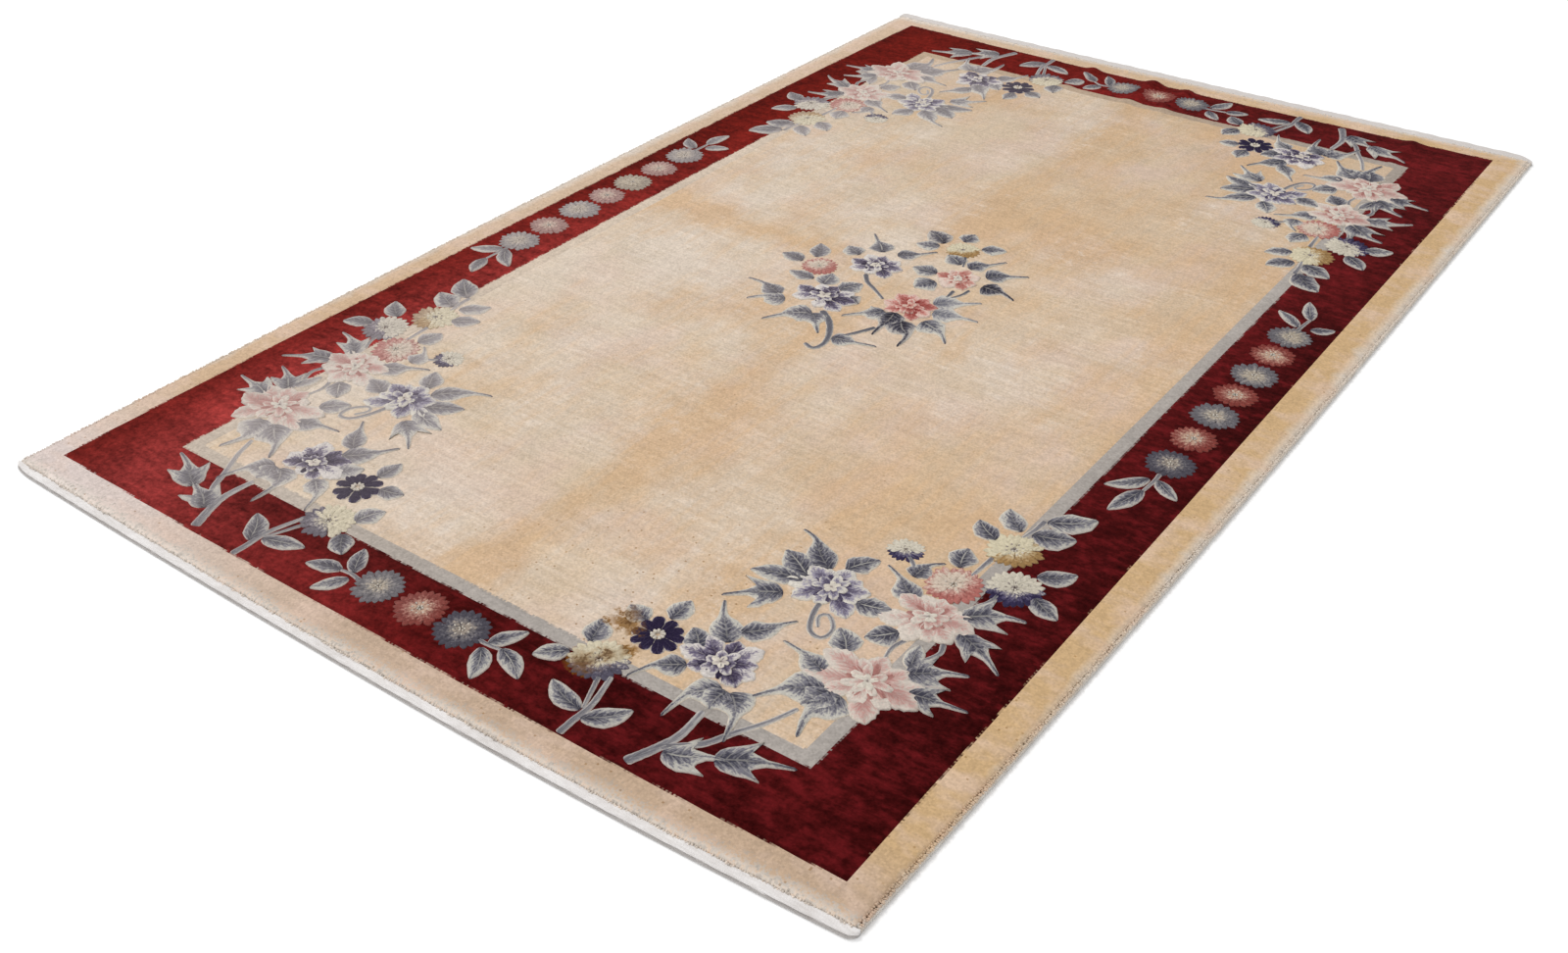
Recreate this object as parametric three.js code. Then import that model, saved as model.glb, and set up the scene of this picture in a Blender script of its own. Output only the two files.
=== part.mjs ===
// A Chinese rug of about 1.8 by 3.1 metres, lying flat on the floor with its pile up.
// The knotted pile and its foundation are one woven slab. A white cotton band is turned under
// at each end, and an overcast cord runs down each side.
// Millimetres, +X to the right across the width, +Y to the far end, +Z up. The origin is on the
// floor under the middle of the rug.
import * as THREE from 'three';

// Thickness of the cloth, from the floor up.
const FOUNDATION = 3;
const PILE = 9;
const RUG_TOP = FOUNDATION + PILE;

// Outline. The far end is the wide one, and the near end has drawn in a little.
const HALF_WIDTH = 916.5;
const HALF_LENGTH = 1566.5;
const NEAR_DRAW_IN = 24;
const DRAW_IN_STARTS = 300;
const NEAR_CREST_X = 150;
const NEAR_SAG_LEFT = 17e-6;
const NEAR_SAG_RIGHT = 43e-6;
const FAR_STRAIGHT = 1553.5;
const FAR_FLARE_STARTS = -200;
const FAR_FLARE_SPAN = 700;

// What the sides and the ends are finished with.
const CORD = 8;
const GAP = 0.3;
const NEAR_BAND = 17;
const FAR_BAND = 40;
const BAND_HEIGHT = 9;
const BAND_CLOTH = 2;
const BAND_LAP = 28;
const BAND_SPANS = 22;
const CORD_SIDES = 8;
const CORD_SPANS = 24;

// Lines between the coloured areas, where the pile is carved down to a groove.
const RED_LEFT = -852;
const RED_RIGHT = 840;
const RED_LEFT_CLOSES = 12;
const RED_RIGHT_CLOSES = 4;
const RED_NEAR = -1491.5;
const RED_FAR = 1450;
const GUARD_OUTER = 688;
const GUARD_INNER = 660;
const GUARD_NEAR = -1335;
const GUARD_FAR = 1291;
const GUARD_WIDTH = 28;
const DESIGN_X = -3.5;
const GROOVE_DEPTH = 2;
const GROOVE_HALF_WIDTH = 5;

// The pile rolls over at the rim of the slab: a row for each step in from the rim.
const rim = [
  { inset: 0, drop: 4.5 },
  { inset: 3, drop: 1.5 },
  { inset: 9, drop: 0 },
];

// Ripples that stand up near the far end, each a ridge that runs along Y.
const RIPPLE_STARTS = 1160;
const RIPPLE_CREST = 1440;
const ripples = [
  { x: -235, halfWidth: 26, height: 8 },
  { x: -55, halfWidth: 34, height: 11 },
  { x: 44, halfWidth: 25, height: 7 },
  { x: 644, halfWidth: 25, height: 6 },
];

// How each corner of a band is rounded: over what length of the end, and how far back.
const corners = {
  nearLeft: { along: 60, back: 14 },
  nearRight: { along: 16, back: 12 },
  farLeft: { along: 12, back: 8 },
  farRight: { along: 58, back: 36 },
};

const smooth = (t) => {
  const s = Math.min(1, Math.max(0, t));
  return s * s * (3 - 2 * s);
};

// Edges of the whole rug.
const drawIn = (y) => NEAR_DRAW_IN * (Math.max(0, DRAW_IN_STARTS - y) / (DRAW_IN_STARTS + HALF_LENGTH)) ** 2;
const halfWidth = (y) => HALF_WIDTH - drawIn(y);
const nearSag = (x) => (x < NEAR_CREST_X ? NEAR_SAG_LEFT : NEAR_SAG_RIGHT) * (x - NEAR_CREST_X) ** 2;
const nearEdge = (x) => -HALF_LENGTH + nearSag(x);
const farEdge = (x) => {
  const reach = Math.min(1, Math.max(0, FAR_FLARE_STARTS - x) / FAR_FLARE_SPAN);
  return FAR_STRAIGHT + (HALF_LENGTH - FAR_STRAIGHT) * reach ** 2;
};

// Ends of the pile, inside the bands, and the carved lines.
const nearPile = (x) => nearEdge(x) + NEAR_BAND;
const farPile = (x) => farEdge(x) - FAR_BAND;
const endward = (y) => Math.abs(y / RED_FAR) ** 4;
const redLeft = (y) => RED_LEFT + RED_LEFT_CLOSES * endward(y);
const redRight = (y) => RED_RIGHT - RED_RIGHT_CLOSES * endward(y);
const redNear = (x) => RED_NEAR + nearSag(x);
const redFar = (x) => RED_FAR + 24e-6 * (x - 50) ** 2;
const guardNear = (x) => GUARD_NEAR + 0.6 * nearSag(x);

// Lines of the grid. Each is a carved line or a rim line, and its neighbours carry the groove.
const beside = (line) => [-GROOVE_HALF_WIDTH, 0, GROOVE_HALF_WIDTH].map((off) => (t) => line(t) + off);
const fixed = (value) => () => value;
const slabHalf = (y) => halfWidth(y) - CORD - GAP;

const rippleColumns = ripples.slice(0, 3).flatMap(({ x, halfWidth }) => [x - halfWidth, x, x + halfWidth]);
const columns = [
  ...rim.map(({ inset }) => (y) => inset - slabHalf(y)),
  ...beside(redLeft),
  ...beside(fixed(DESIGN_X - GUARD_OUTER)),
  ...beside(fixed(DESIGN_X - GUARD_INNER)),
  ...[-500, -370, ...rippleColumns, 180, 320, 460, 619, 640].map(fixed),
  ...beside(fixed(DESIGN_X + GUARD_INNER)),
  ...beside(fixed(DESIGN_X + GUARD_OUTER)),
  ...beside(redRight),
  ...rim.map(({ inset }) => (y) => slabHalf(y) - inset).reverse(),
];

const rows = [
  ...rim.map(({ inset }) => (x) => nearPile(x) + inset),
  ...beside(redNear),
  ...beside(guardNear),
  ...beside((x) => guardNear(x) + GUARD_WIDTH),
  ...[-1100, -830, -560, -280, 0, 280, 560, 830, RIPPLE_STARTS - 60, RIPPLE_STARTS + 30].map(fixed),
  ...beside(fixed(GUARD_FAR - GUARD_WIDTH)),
  ...beside(fixed(GUARD_FAR)),
  ...[1340, 1395].map(fixed),
  ...beside(redFar),
  (x) => farPile(x) - 36,
  ...rim.map(({ inset }) => (x) => farPile(x) - inset).reverse(),
];

// How far a place lies under the crest of a groove or of the rolled rim.
const grooveAt = (distance) => GROOVE_DEPTH * Math.max(0, 1 - Math.abs(distance) / GROOVE_HALF_WIDTH);
const rimAt = (distance) => {
  const step = rim.findIndex(({ inset }) => distance < inset);
  if (step === -1) return 0;
  if (step === 0) return rim[0].drop;
  const share = (distance - rim[step - 1].inset) / (rim[step].inset - rim[step - 1].inset);
  return rim[step - 1].drop + share * (rim[step].drop - rim[step - 1].drop);
};

const insideRed = (x, y) => x > redLeft(y) - 1 && x < redRight(y) + 1 && y > redNear(x) - 1 && y < redFar(x) + 1;
const insideGuard = (x, y, half, near, far) => Math.abs(x - DESIGN_X) < half + 1 && y > near - 1 && y < far + 1;

const carved = (x, y) => {
  const roll = rimAt(Math.min(slabHalf(y) - Math.abs(x), y - nearPile(x), farPile(x) - y));
  const lines = [];
  if (insideRed(x, y)) lines.push(x - redLeft(y), redRight(y) - x, y - redNear(x), redFar(x) - y);
  const near = guardNear(x);
  if (insideGuard(x, y, GUARD_OUTER, near, GUARD_FAR)) {
    lines.push(GUARD_OUTER - Math.abs(x - DESIGN_X), y - near, GUARD_FAR - y);
  }
  if (insideGuard(x, y, GUARD_INNER, near + GUARD_WIDTH, GUARD_FAR - GUARD_WIDTH)) {
    lines.push(GUARD_INNER - Math.abs(x - DESIGN_X), y - near - GUARD_WIDTH, GUARD_FAR - GUARD_WIDTH - y);
  }
  return Math.max(roll, ...lines.map(grooveAt));
};

const rippleAt = (x, y) => {
  const rise = smooth((y - RIPPLE_STARTS) / (RIPPLE_CREST - RIPPLE_STARTS));
  const fall = smooth((farPile(x) - y) / (farPile(x) - RIPPLE_CREST));
  const across = ripples.reduce((sum, r) => sum + r.height * Math.exp(-2 * ((x - r.x) / r.halfWidth) ** 2), 0);
  return across * rise * fall;
};

// A column depends on y and a row on x, so a crossing is found by going back and forth.
const crossing = (column, row) => {
  let x = column(0);
  let y = row(x);
  for (let pass = 0; pass < 3; pass += 1) {
    x = column(y);
    y = row(x);
  }
  return [x, y];
};

// A closed body from a grid of top points and the same grid of bottom points.
function slabGeometry(top, bottom) {
  const across = top.length;
  const along = top[0].length;
  const points = [...top.flat(), ...bottom.flat()];
  const at = (layer, i, j) => layer * across * along + i * along + j;
  const faces = [];
  const quad = (a, b, c, d) => faces.push(a, b, c, a, c, d);
  for (let i = 0; i < across - 1; i += 1) {
    for (let j = 0; j < along - 1; j += 1) {
      quad(at(0, i, j), at(0, i + 1, j), at(0, i + 1, j + 1), at(0, i, j + 1));
      quad(at(1, i, j), at(1, i, j + 1), at(1, i + 1, j + 1), at(1, i + 1, j));
    }
    quad(at(1, i, 0), at(1, i + 1, 0), at(0, i + 1, 0), at(0, i, 0));
    quad(at(0, i, along - 1), at(0, i + 1, along - 1), at(1, i + 1, along - 1), at(1, i, along - 1));
  }
  for (let j = 0; j < along - 1; j += 1) {
    quad(at(0, 0, j), at(0, 0, j + 1), at(1, 0, j + 1), at(1, 0, j));
    quad(at(1, across - 1, j), at(1, across - 1, j + 1), at(0, across - 1, j + 1), at(0, across - 1, j));
  }
  return meshGeometry(points, faces);
}

function meshGeometry(points, faces) {
  const geometry = new THREE.BufferGeometry();
  geometry.setAttribute('position', new THREE.Float32BufferAttribute(points.flat(), 3));
  geometry.setIndex(faces);
  geometry.computeVertexNormals();
  return geometry;
}

// A closed body lofted through sections with the same number of points, and a cap on each end.
// A section turns anticlockwise in the plane of the two axes named, first towards second.
function loftGeometry(sections, first, second) {
  const size = sections[0].length;
  const last = (sections.length - 1) * size;
  const faces = [];
  for (let s = 0; s < last; s += size) {
    for (let k = 0; k < size; k += 1) {
      const a = s + k;
      const b = s + ((k + 1) % size);
      faces.push(a, b, b + size, a, b + size, a + size);
    }
  }
  const flat = sections[0].map((point) => new THREE.Vector2(point[first], point[second]));
  for (const [a, b, c] of THREE.ShapeUtils.triangulateShape(flat, [])) {
    faces.push(a, c, b, last + a, last + b, last + c);
  }
  return meshGeometry(sections.flat(), faces);
}

// The woven slab: carved pile on top, and underneath it is lifted over the turned-under bands.
function rugSlab() {
  const liftRows = [BAND_LAP + GAP, BAND_LAP + 2 * GAP];
  const nearLift = liftRows.map((lap) => (x) => nearPile(x) + lap);
  const farLift = liftRows.map((lap) => (x) => farPile(x) - lap).reverse();
  const nearCount = rim.length;
  const allRows = [
    ...rows.slice(0, nearCount),
    ...nearLift,
    ...rows.slice(nearCount, rows.length - nearCount),
    ...farLift,
    ...rows.slice(rows.length - nearCount),
  ];
  const lifted = (x, y) => Math.min(y - nearPile(x), farPile(x) - y) < liftRows[0] + GAP / 2;
  const grid = columns.map((column) => allRows.map((row) => crossing(column, row)));
  const top = grid.map((line) => line.map(([x, y]) => [x, y, RUG_TOP - carved(x, y) + rippleAt(x, y)]));
  const bottom = grid.map((line) =>
    line.map(([x, y]) => [x, y, (lifted(x, y) ? BAND_CLOTH + GAP : 0) + rippleAt(x, y)]));
  return slabGeometry(top, bottom);
}

// An end band: cotton cloth that shows as a low roll beyond the pile and laps back under it.
// Outward is -1 at the near end and 1 at the far end.
function endBand({ outward, edge, pile, leftCorner, rightCorner }) {
  const side = halfWidth(outward * HALF_LENGTH);
  const lapSide = side - CORD - 2 * GAP;
  const from = leftCorner.along - side;
  const to = side - rightCorner.along;
  const stations = [-lapSide, GAP - lapSide, lapSide - GAP, lapSide];
  for (const share of [0, 0.08, 0.3, 0.6, 1]) {
    stations.push(share * leftCorner.along - side, side - share * rightCorner.along);
  }
  for (let i = 1; i < BAND_SPANS; i += 1) stations.push(from + ((to - from) * i) / BAND_SPANS);
  stations.sort((a, b) => a - b);

  const cutBack = (distance, corner) => {
    const share = Math.max(0, 1 - distance / corner.along);
    return corner.back * (1 - Math.sqrt(1 - share ** 2));
  };
  const sections = stations.map((x) => {
    const pileEnd = outward * pile(x);
    const start = pileEnd + GAP;
    const nose = outward * edge(x) - cutBack(x + side, leftCorner) - cutBack(side - x, rightCorner);
    const roll = Math.min(BAND_HEIGHT / 3, (nose - start) / 2.5);
    const lap = Math.abs(x) < lapSide ? BAND_LAP : 0;
    const profile = [
      [pileEnd - lap, 0],
      [nose - roll * 0.8, 0],
      [nose - roll * 0.15, BAND_HEIGHT * 0.2],
      [nose, BAND_HEIGHT * 0.5],
      [nose - roll * 0.3, BAND_HEIGHT * 0.8],
      [nose - roll, BAND_HEIGHT * 0.97],
      [start + (nose - start) * 0.4, BAND_HEIGHT],
      [start, BAND_HEIGHT - 1],
      [start, BAND_CLOTH],
      [pileEnd - lap, BAND_CLOTH],
    ];
    const section = profile.map(([y, z]) => [x, outward * y, z]);
    return outward === 1 ? section : section.reverse();
  });
  return loftGeometry(sections, 1, 2);
}

// A side cord: round warps wrapped with yarn, flat where it lies on the floor.
function sideCord(side) {
  const radius = CORD / 2;
  const reach = radius / Math.cos(Math.PI / CORD_SIDES);
  const endX = side * (HALF_WIDTH - CORD);
  const start = nearPile(endX) + GAP;
  const end = farPile(endX) - GAP;
  const sections = [];
  for (let s = 0; s <= CORD_SPANS; s += 1) {
    const y = start + ((end - start) * s) / CORD_SPANS;
    const centre = side * (halfWidth(y) - radius);
    const section = [];
    for (let k = 0; k < CORD_SIDES; k += 1) {
      const angle = ((k + 0.5) / CORD_SIDES) * 2 * Math.PI;
      section.push([centre + reach * Math.sin(angle), y, radius + reach * Math.cos(angle)]);
    }
    sections.push(section);
  }
  return loftGeometry(sections, 2, 0);
}

const cloth = (color) => new THREE.MeshStandardMaterial({ color, roughness: 0.85, metalness: 0 });
const add = (group, name, geometry, material) => {
  const mesh = new THREE.Mesh(geometry, material);
  mesh.name = name;
  group.add(mesh);
};

const rug = new THREE.Group();
add(rug, 'woven_rug', rugSlab(), cloth(0xdcc4a0));
add(rug, 'near_end_band', endBand({
  outward: -1,
  edge: nearEdge,
  pile: nearPile,
  leftCorner: corners.nearLeft,
  rightCorner: corners.nearRight,
}), cloth(0xd9d3d0));
add(rug, 'far_end_band', endBand({
  outward: 1,
  edge: farEdge,
  pile: farPile,
  leftCorner: corners.farLeft,
  rightCorner: corners.farRight,
}), cloth(0xd9d3d0));
add(rug, 'left_side_cord', sideCord(-1), cloth(0xd8cbb8));
add(rug, 'right_side_cord', sideCord(1), cloth(0xd8cbb8));

export default rug;
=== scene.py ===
import math

import bpy
import numpy as np
from mathutils import Matrix, Vector


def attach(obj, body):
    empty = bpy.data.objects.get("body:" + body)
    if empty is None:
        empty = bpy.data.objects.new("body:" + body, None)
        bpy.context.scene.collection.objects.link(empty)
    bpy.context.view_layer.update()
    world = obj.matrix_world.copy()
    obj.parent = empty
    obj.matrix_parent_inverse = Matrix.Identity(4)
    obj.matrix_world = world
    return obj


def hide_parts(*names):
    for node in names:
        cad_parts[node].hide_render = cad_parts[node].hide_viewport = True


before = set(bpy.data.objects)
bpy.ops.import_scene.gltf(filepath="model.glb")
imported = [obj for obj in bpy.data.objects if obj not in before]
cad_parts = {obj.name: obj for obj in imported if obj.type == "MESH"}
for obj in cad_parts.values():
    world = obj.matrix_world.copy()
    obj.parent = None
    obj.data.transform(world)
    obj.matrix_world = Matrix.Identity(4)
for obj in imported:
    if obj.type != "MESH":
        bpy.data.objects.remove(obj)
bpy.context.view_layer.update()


# Woven slab
# Silk pile knotted on a cotton foundation, in one piece on the loom, then shorn level.
# The edges of the coloured areas are carved down to a shallow groove. Lengths are in metres.
RUG_TOP = 0.012
HALF_LENGTH = 1.5665
HALF_WIDTH = 0.9165
NEAR_DRAW_IN = 0.024
DRAW_IN_STARTS = 0.3
NEAR_CREST_X = 0.15
NEAR_SAG_LEFT = 0.017
NEAR_SAG_RIGHT = 0.043
FAR_STRAIGHT = 1.5535
FAR_FLARE_STARTS = -0.2
FAR_FLARE_SPAN = 0.7
CORD = 0.008
GAP = 0.0003
NEAR_BAND = 0.017
FAR_BAND = 0.040
BAND_CLOTH = 0.002
BAND_LAP = 0.028
RED_LEFT = -0.852
RED_RIGHT = 0.840
RED_LEFT_CLOSES = 0.012
RED_RIGHT_CLOSES = 0.004
RED_NEAR = -1.4915
RED_FAR = 1.450
RED_FAR_BOW = 0.024
RED_FAR_BOW_X = 0.05
GUARD_OUTER = 0.688
GUARD_INNER = 0.660
GUARD_NEAR = -1.335
GUARD_FAR = 1.291
GUARD_SAG = 0.6
GUARD_WIDTH = 0.028
DESIGN_X = -0.0035
GROOVE_DEPTH = 0.0008
GROOVE_HALF_WIDTH = 0.0045
UNEVEN = 0.0005
RIPPLE_STARTS = 1.160
RIPPLE_CREST = 1.440
RIPPLES = ((-0.235, 0.026, 0.008), (-0.055, 0.034, 0.011), (0.044, 0.025, 0.007), (0.644, 0.025, 0.006))
RIM_INSETS = (0.0, 0.0014, 0.003, 0.0055, 0.009)
RIM_DROPS = (0.0052, 0.0028, 0.0015, 0.0005, 0.0)
GROUND_STEP = 0.024


def smooth(share):
    share = np.clip(share, 0.0, 1.0)
    return share * share * (3.0 - 2.0 * share)


def half_width(y):
    toward_near = np.maximum(0.0, DRAW_IN_STARTS - y) / (DRAW_IN_STARTS + HALF_LENGTH)
    return HALF_WIDTH - NEAR_DRAW_IN * toward_near**2


def near_sag(x):
    return np.where(x < NEAR_CREST_X, NEAR_SAG_LEFT, NEAR_SAG_RIGHT) * (x - NEAR_CREST_X) ** 2


def near_edge(x):
    return near_sag(x) - HALF_LENGTH


def far_edge(x):
    reach = np.clip((FAR_FLARE_STARTS - x) / FAR_FLARE_SPAN, 0.0, 1.0)
    return FAR_STRAIGHT + (HALF_LENGTH - FAR_STRAIGHT) * reach**2


def near_pile(x):
    return near_edge(x) + NEAR_BAND


def far_pile(x):
    return far_edge(x) - FAR_BAND


def slab_half(y):
    return half_width(y) - CORD - GAP


def red_left(y):
    return RED_LEFT + RED_LEFT_CLOSES * (y / RED_FAR) ** 4


def red_right(y):
    return RED_RIGHT - RED_RIGHT_CLOSES * (y / RED_FAR) ** 4


def red_near(x):
    return RED_NEAR + near_sag(x)


def red_far(x):
    return RED_FAR + RED_FAR_BOW * (x - RED_FAR_BOW_X) ** 2


def guard_near(x):
    return GUARD_NEAR + GUARD_SAG * near_sag(x)


def in_red(x, y):
    """How far inside the outer line of the red border a place is. Outside it is below zero."""
    sides = np.minimum(x - red_left(y), red_right(y) - x)
    return np.minimum(sides, np.minimum(y - red_near(x), red_far(x) - y))


def in_guard(x, y, inset):
    """How far inside the line that runs inset within the guard's outer line."""
    ends = np.minimum(y - guard_near(x) - inset, GUARD_FAR - inset - y)
    return np.minimum(GUARD_OUTER - inset - np.abs(x - DESIGN_X), ends)


def ripple(x, y):
    rise = smooth((y - RIPPLE_STARTS) / (RIPPLE_CREST - RIPPLE_STARTS))
    fall = smooth((far_pile(x) - y) / (far_pile(x) - RIPPLE_CREST))
    across = sum(height * np.exp(-2.0 * ((x - at) / half) ** 2) for at, half, height in RIPPLES)
    return across * rise * fall


def unevenness(x, y):
    waves = np.sin(7.1 * x + 3.3 * y) + np.sin(11.3 * y - 4.7 * x + 1.0) + np.sin(19.0 * x + 2.0)
    return UNEVEN * waves / 3.0


def pile_top(x, y):
    """Height of the pile over the floor, with its grooves, rolled rim, ripples and slight unevenness."""
    rim = np.minimum(slab_half(y) - np.abs(x), np.minimum(y - near_pile(x), far_pile(x) - y))
    dip = np.interp(rim, RIM_INSETS, RIM_DROPS)
    for line in (in_red(x, y), in_guard(x, y, 0.0), in_guard(x, y, GUARD_WIDTH)):
        dip = np.maximum(dip, GROOVE_DEPTH * np.maximum(0.0, 1.0 - np.abs(line) / GROOVE_HALF_WIDTH))
    return RUG_TOP - dip + ripple(x, y) + unevenness(x, y)


def fixed(value):
    return lambda along: value + 0.0 * along


def shifted(line, offset):
    return lambda along: line(along) + offset


def mixed(line, other, share):
    return lambda along: line(along) * (1.0 - share) + other(along) * share


def filled(lines, step):
    """Puts more lines between those given, no more than a step apart."""
    made = [lines[0]]
    for line, following in zip(lines, lines[1:]):
        spans = max(1, math.ceil((following(0.0) - line(0.0)) / step))
        made += [mixed(line, following, k / spans) for k in range(1, spans)] + [following]
    return made


def beside(line):
    return [shifted(line, share * GROOVE_HALF_WIDTH) for share in (-1.0, -0.5, 0.0, 0.5, 1.0)]


def new_mesh(name, points, faces):
    mesh = bpy.data.meshes.new(name)
    mesh.from_pydata(np.asarray(points).tolist(), [], faces)
    mesh.shade_smooth()
    return mesh


def new_piece(name, mesh, material):
    piece = bpy.data.objects.new(name, mesh)
    mesh.materials.clear()
    mesh.materials.append(material)
    bpy.context.collection.objects.link(piece)
    return piece


def grid_slab(name, top, bottom):
    """A closed body from a grid of top points and the same grid of bottom points."""
    across, along = top.shape[:2]
    index = np.arange(across * along).reshape(across, along)
    under = index + across * along
    quads = [
        np.stack([index[:-1, :-1], index[1:, :-1], index[1:, 1:], index[:-1, 1:]], -1),
        np.stack([under[:-1, :-1], under[:-1, 1:], under[1:, 1:], under[1:, :-1]], -1),
        np.stack([under[:-1, 0], under[1:, 0], index[1:, 0], index[:-1, 0]], -1),
        np.stack([index[:-1, -1], index[1:, -1], under[1:, -1], under[:-1, -1]], -1),
        np.stack([index[0, :-1], index[0, 1:], under[0, 1:], under[0, :-1]], -1),
        np.stack([under[-1, :-1], under[-1, 1:], index[-1, 1:], index[-1, :-1]], -1),
    ]
    faces = np.concatenate([part.reshape(-1, 4) for part in quads])
    return new_mesh(name, np.concatenate([top.reshape(-1, 3), bottom.reshape(-1, 3)]), faces.tolist())


class Thread:
    """A value on its way through a node tree. Operators add the maths nodes."""

    def __init__(self, tree, socket=None):
        self.tree = tree
        self.socket = socket

    def node(self, kind, settings=None, inputs=None, out=0):
        made = self.tree.nodes.new(kind)
        for name, value in (settings or {}).items():
            setattr(made, name, value)
        for name, value in (inputs or {}).items():
            if isinstance(value, Thread):
                self.tree.links.new(value.socket, made.inputs[name])
            else:
                made.inputs[name].default_value = value
        return Thread(self.tree, made.outputs[out]) if made.outputs else Thread(self.tree)

    def output(self, name):
        """Another output of the node that this value comes from."""
        return Thread(self.tree, self.socket.node.outputs[name])

    def math(self, operation, *values, held=False):
        settings = {"operation": operation, "use_clamp": held}
        return self.node("ShaderNodeMath", settings, dict(enumerate(values)))

    def __add__(self, other):
        return self.math("ADD", self, other)

    def __radd__(self, other):
        return self.math("ADD", other, self)

    def __sub__(self, other):
        return self.math("SUBTRACT", self, other)

    def __rsub__(self, other):
        return self.math("SUBTRACT", other, self)

    def __mul__(self, other):
        return self.math("MULTIPLY", self, other)

    def __rmul__(self, other):
        return self.math("MULTIPLY", other, self)

    def __truediv__(self, other):
        return self.math("DIVIDE", self, other)

    def __rtruediv__(self, other):
        return self.math("DIVIDE", other, self)

    def __pow__(self, other):
        return self.math("POWER", self, other)

    def __abs__(self):
        return self.math("ABSOLUTE", self)

    def least(self, other):
        return self.math("MINIMUM", self, other)

    def most(self, other):
        return self.math("MAXIMUM", self, other)

    def below(self, edge):
        return self.math("LESS_THAN", self, edge)

    def floor(self):
        return self.math("FLOOR", self)

    def sine(self):
        return self.math("SINE", self)

    def cosine(self):
        return self.math("COSINE", self)

    def filling(self, whole):
        """The share of a whole that the value fills, from 0 to 1."""
        return self.math("DIVIDE", self, whole, held=True)

    def past(self, edge, soft):
        """Goes from 0 to 1 as the value passes the edge, over the length soft."""
        return self.math("ADD", (self - edge) / soft, 0.5, held=True)

    def between(self, low, high):
        """The colour that lies this share of the way from low to high."""
        return self.node("ShaderNodeMix", {"data_type": "RGBA"}, {0: self, 6: low, 7: high}, out=2)

    def scaled(self, tone):
        """The colour, made lighter or darker by a tone."""
        return self.node("ShaderNodeVectorMath", {"operation": "SCALE"}, {0: self, 3: tone})

    def vector(self, x, y, z=0.0):
        return self.node("ShaderNodeCombineXYZ", None, {0: x, 1: y, 2: z})

    def noise(self, place, scale, detail=2.0, rough=0.5):
        inputs = {"Vector": place, "Scale": scale, "Detail": detail, "Roughness": rough}
        return self.node("ShaderNodeTexNoise", {"noise_dimensions": "2D"}, inputs)

    def speckle(self, place):
        return self.node("ShaderNodeTexWhiteNoise", {"noise_dimensions": "2D"}, {"Vector": place})

    def on_object(self):
        """The place of a point on its object, with its x, y and z."""
        place = self.node("ShaderNodeTexCoord", out=3)
        x = self.node("ShaderNodeSeparateXYZ", None, {0: place})
        return place, x, x.output(1), x.output(2)


def dye(red, green, blue):
    """A named screen colour as the light it reflects."""
    share = [value / 255.0 for value in (red, green, blue)]
    return (*[v / 12.92 if v <= 0.04045 else ((v + 0.055) / 1.055) ** 2.4 for v in share], 1.0)


def new_material(name, roughness, sheen):
    """A material with the fixed settings of its yarn, and its shader."""
    material = bpy.data.materials.new(name)
    material.use_nodes = True
    shader = material.node_tree.nodes["Principled BSDF"]
    shader.inputs["Roughness"].default_value = roughness
    shader.inputs["Specular IOR Level"].default_value = 0.0
    shader.inputs["Sheen Weight"].default_value = sheen
    shader.inputs["Sheen Roughness"].default_value = 0.45
    return material, shader


def finish_material(shader, colour, height, distance, strength):
    inputs = {"Strength": strength, "Distance": distance, "Height": height}
    bumped = colour.node("ShaderNodeBump", None, inputs)
    colour.tree.links.new(colour.socket, shader.inputs["Base Color"])
    colour.tree.links.new(bumped.socket, shader.inputs["Normal"])


KNOT = 0.0034
LINE_WOBBLE = 0.0036
LINE_GRAIN = 0.0014
LINE_SOFT = 0.0015
FADE_SPAN = 1.5
# The pale rim, partly thinned pile and partly painted sheen, is measured from this far in at the near
# end, and from this line at the far end.
NEAR_RIM = 0.008
FAR_RIM = 1.5195
FIELD_LEFT = dye(201, 184, 163)
FIELD_RIGHT = dye(199, 175, 148)
FIELD_PALE = dye(208, 195, 182)
FIELD_GOLD = dye(195, 161, 123)
FIELD_ROSE = dye(204, 180, 165)
CREAM_OUTER = dye(212, 203, 193)
CREAM_LEFT = dye(197, 173, 149)
CREAM_RIGHT = dye(193, 162, 122)
CREAM_CORNER = dye(206, 192, 186)
CREAM_NEAR = dye(182, 158, 137)
RED_PALE = dye(128, 46, 44)
RED_FAR_LEFT = dye(104, 24, 17)
RED_MIDDLE = dye(89, 20, 19)
RED_DEEP = dye(70, 14, 15)
RED_SHEEN = dye(116, 27, 32)
GUARD_PALE = dye(197, 181, 164)
GUARD_GREY = dye(160, 153, 147)
STAIN = dye(132, 92, 34)
STAIN_CORE = dye(72, 46, 26)
# Each spill is given by its middle and its radius.
STAINS = ((0.262, -1.222, 0.020), (0.292, -1.236, 0.013), (0.318, -1.284, 0.014),
          (0.300, -1.315, 0.016), (0.281, -1.346, 0.022), (0.246, -1.250, 0.008))
# Small flecks lie thickest about this place.
SPLASHES = (0.28, -1.2)
FLECK = 0.9985
FLECK_SOFT = 0.001
# The two old folds are given by the line that each follows and how far it fades to each side.
FOLD_LONG = (-0.01, 0.075)
FOLD_ACROSS = (0.05, 0.085)


def away_from(x, y, at_x, at_y):
    """How far a place is from another."""
    across = x - at_x
    up = y - at_y
    return (across * across + up * up) ** 0.5


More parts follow.
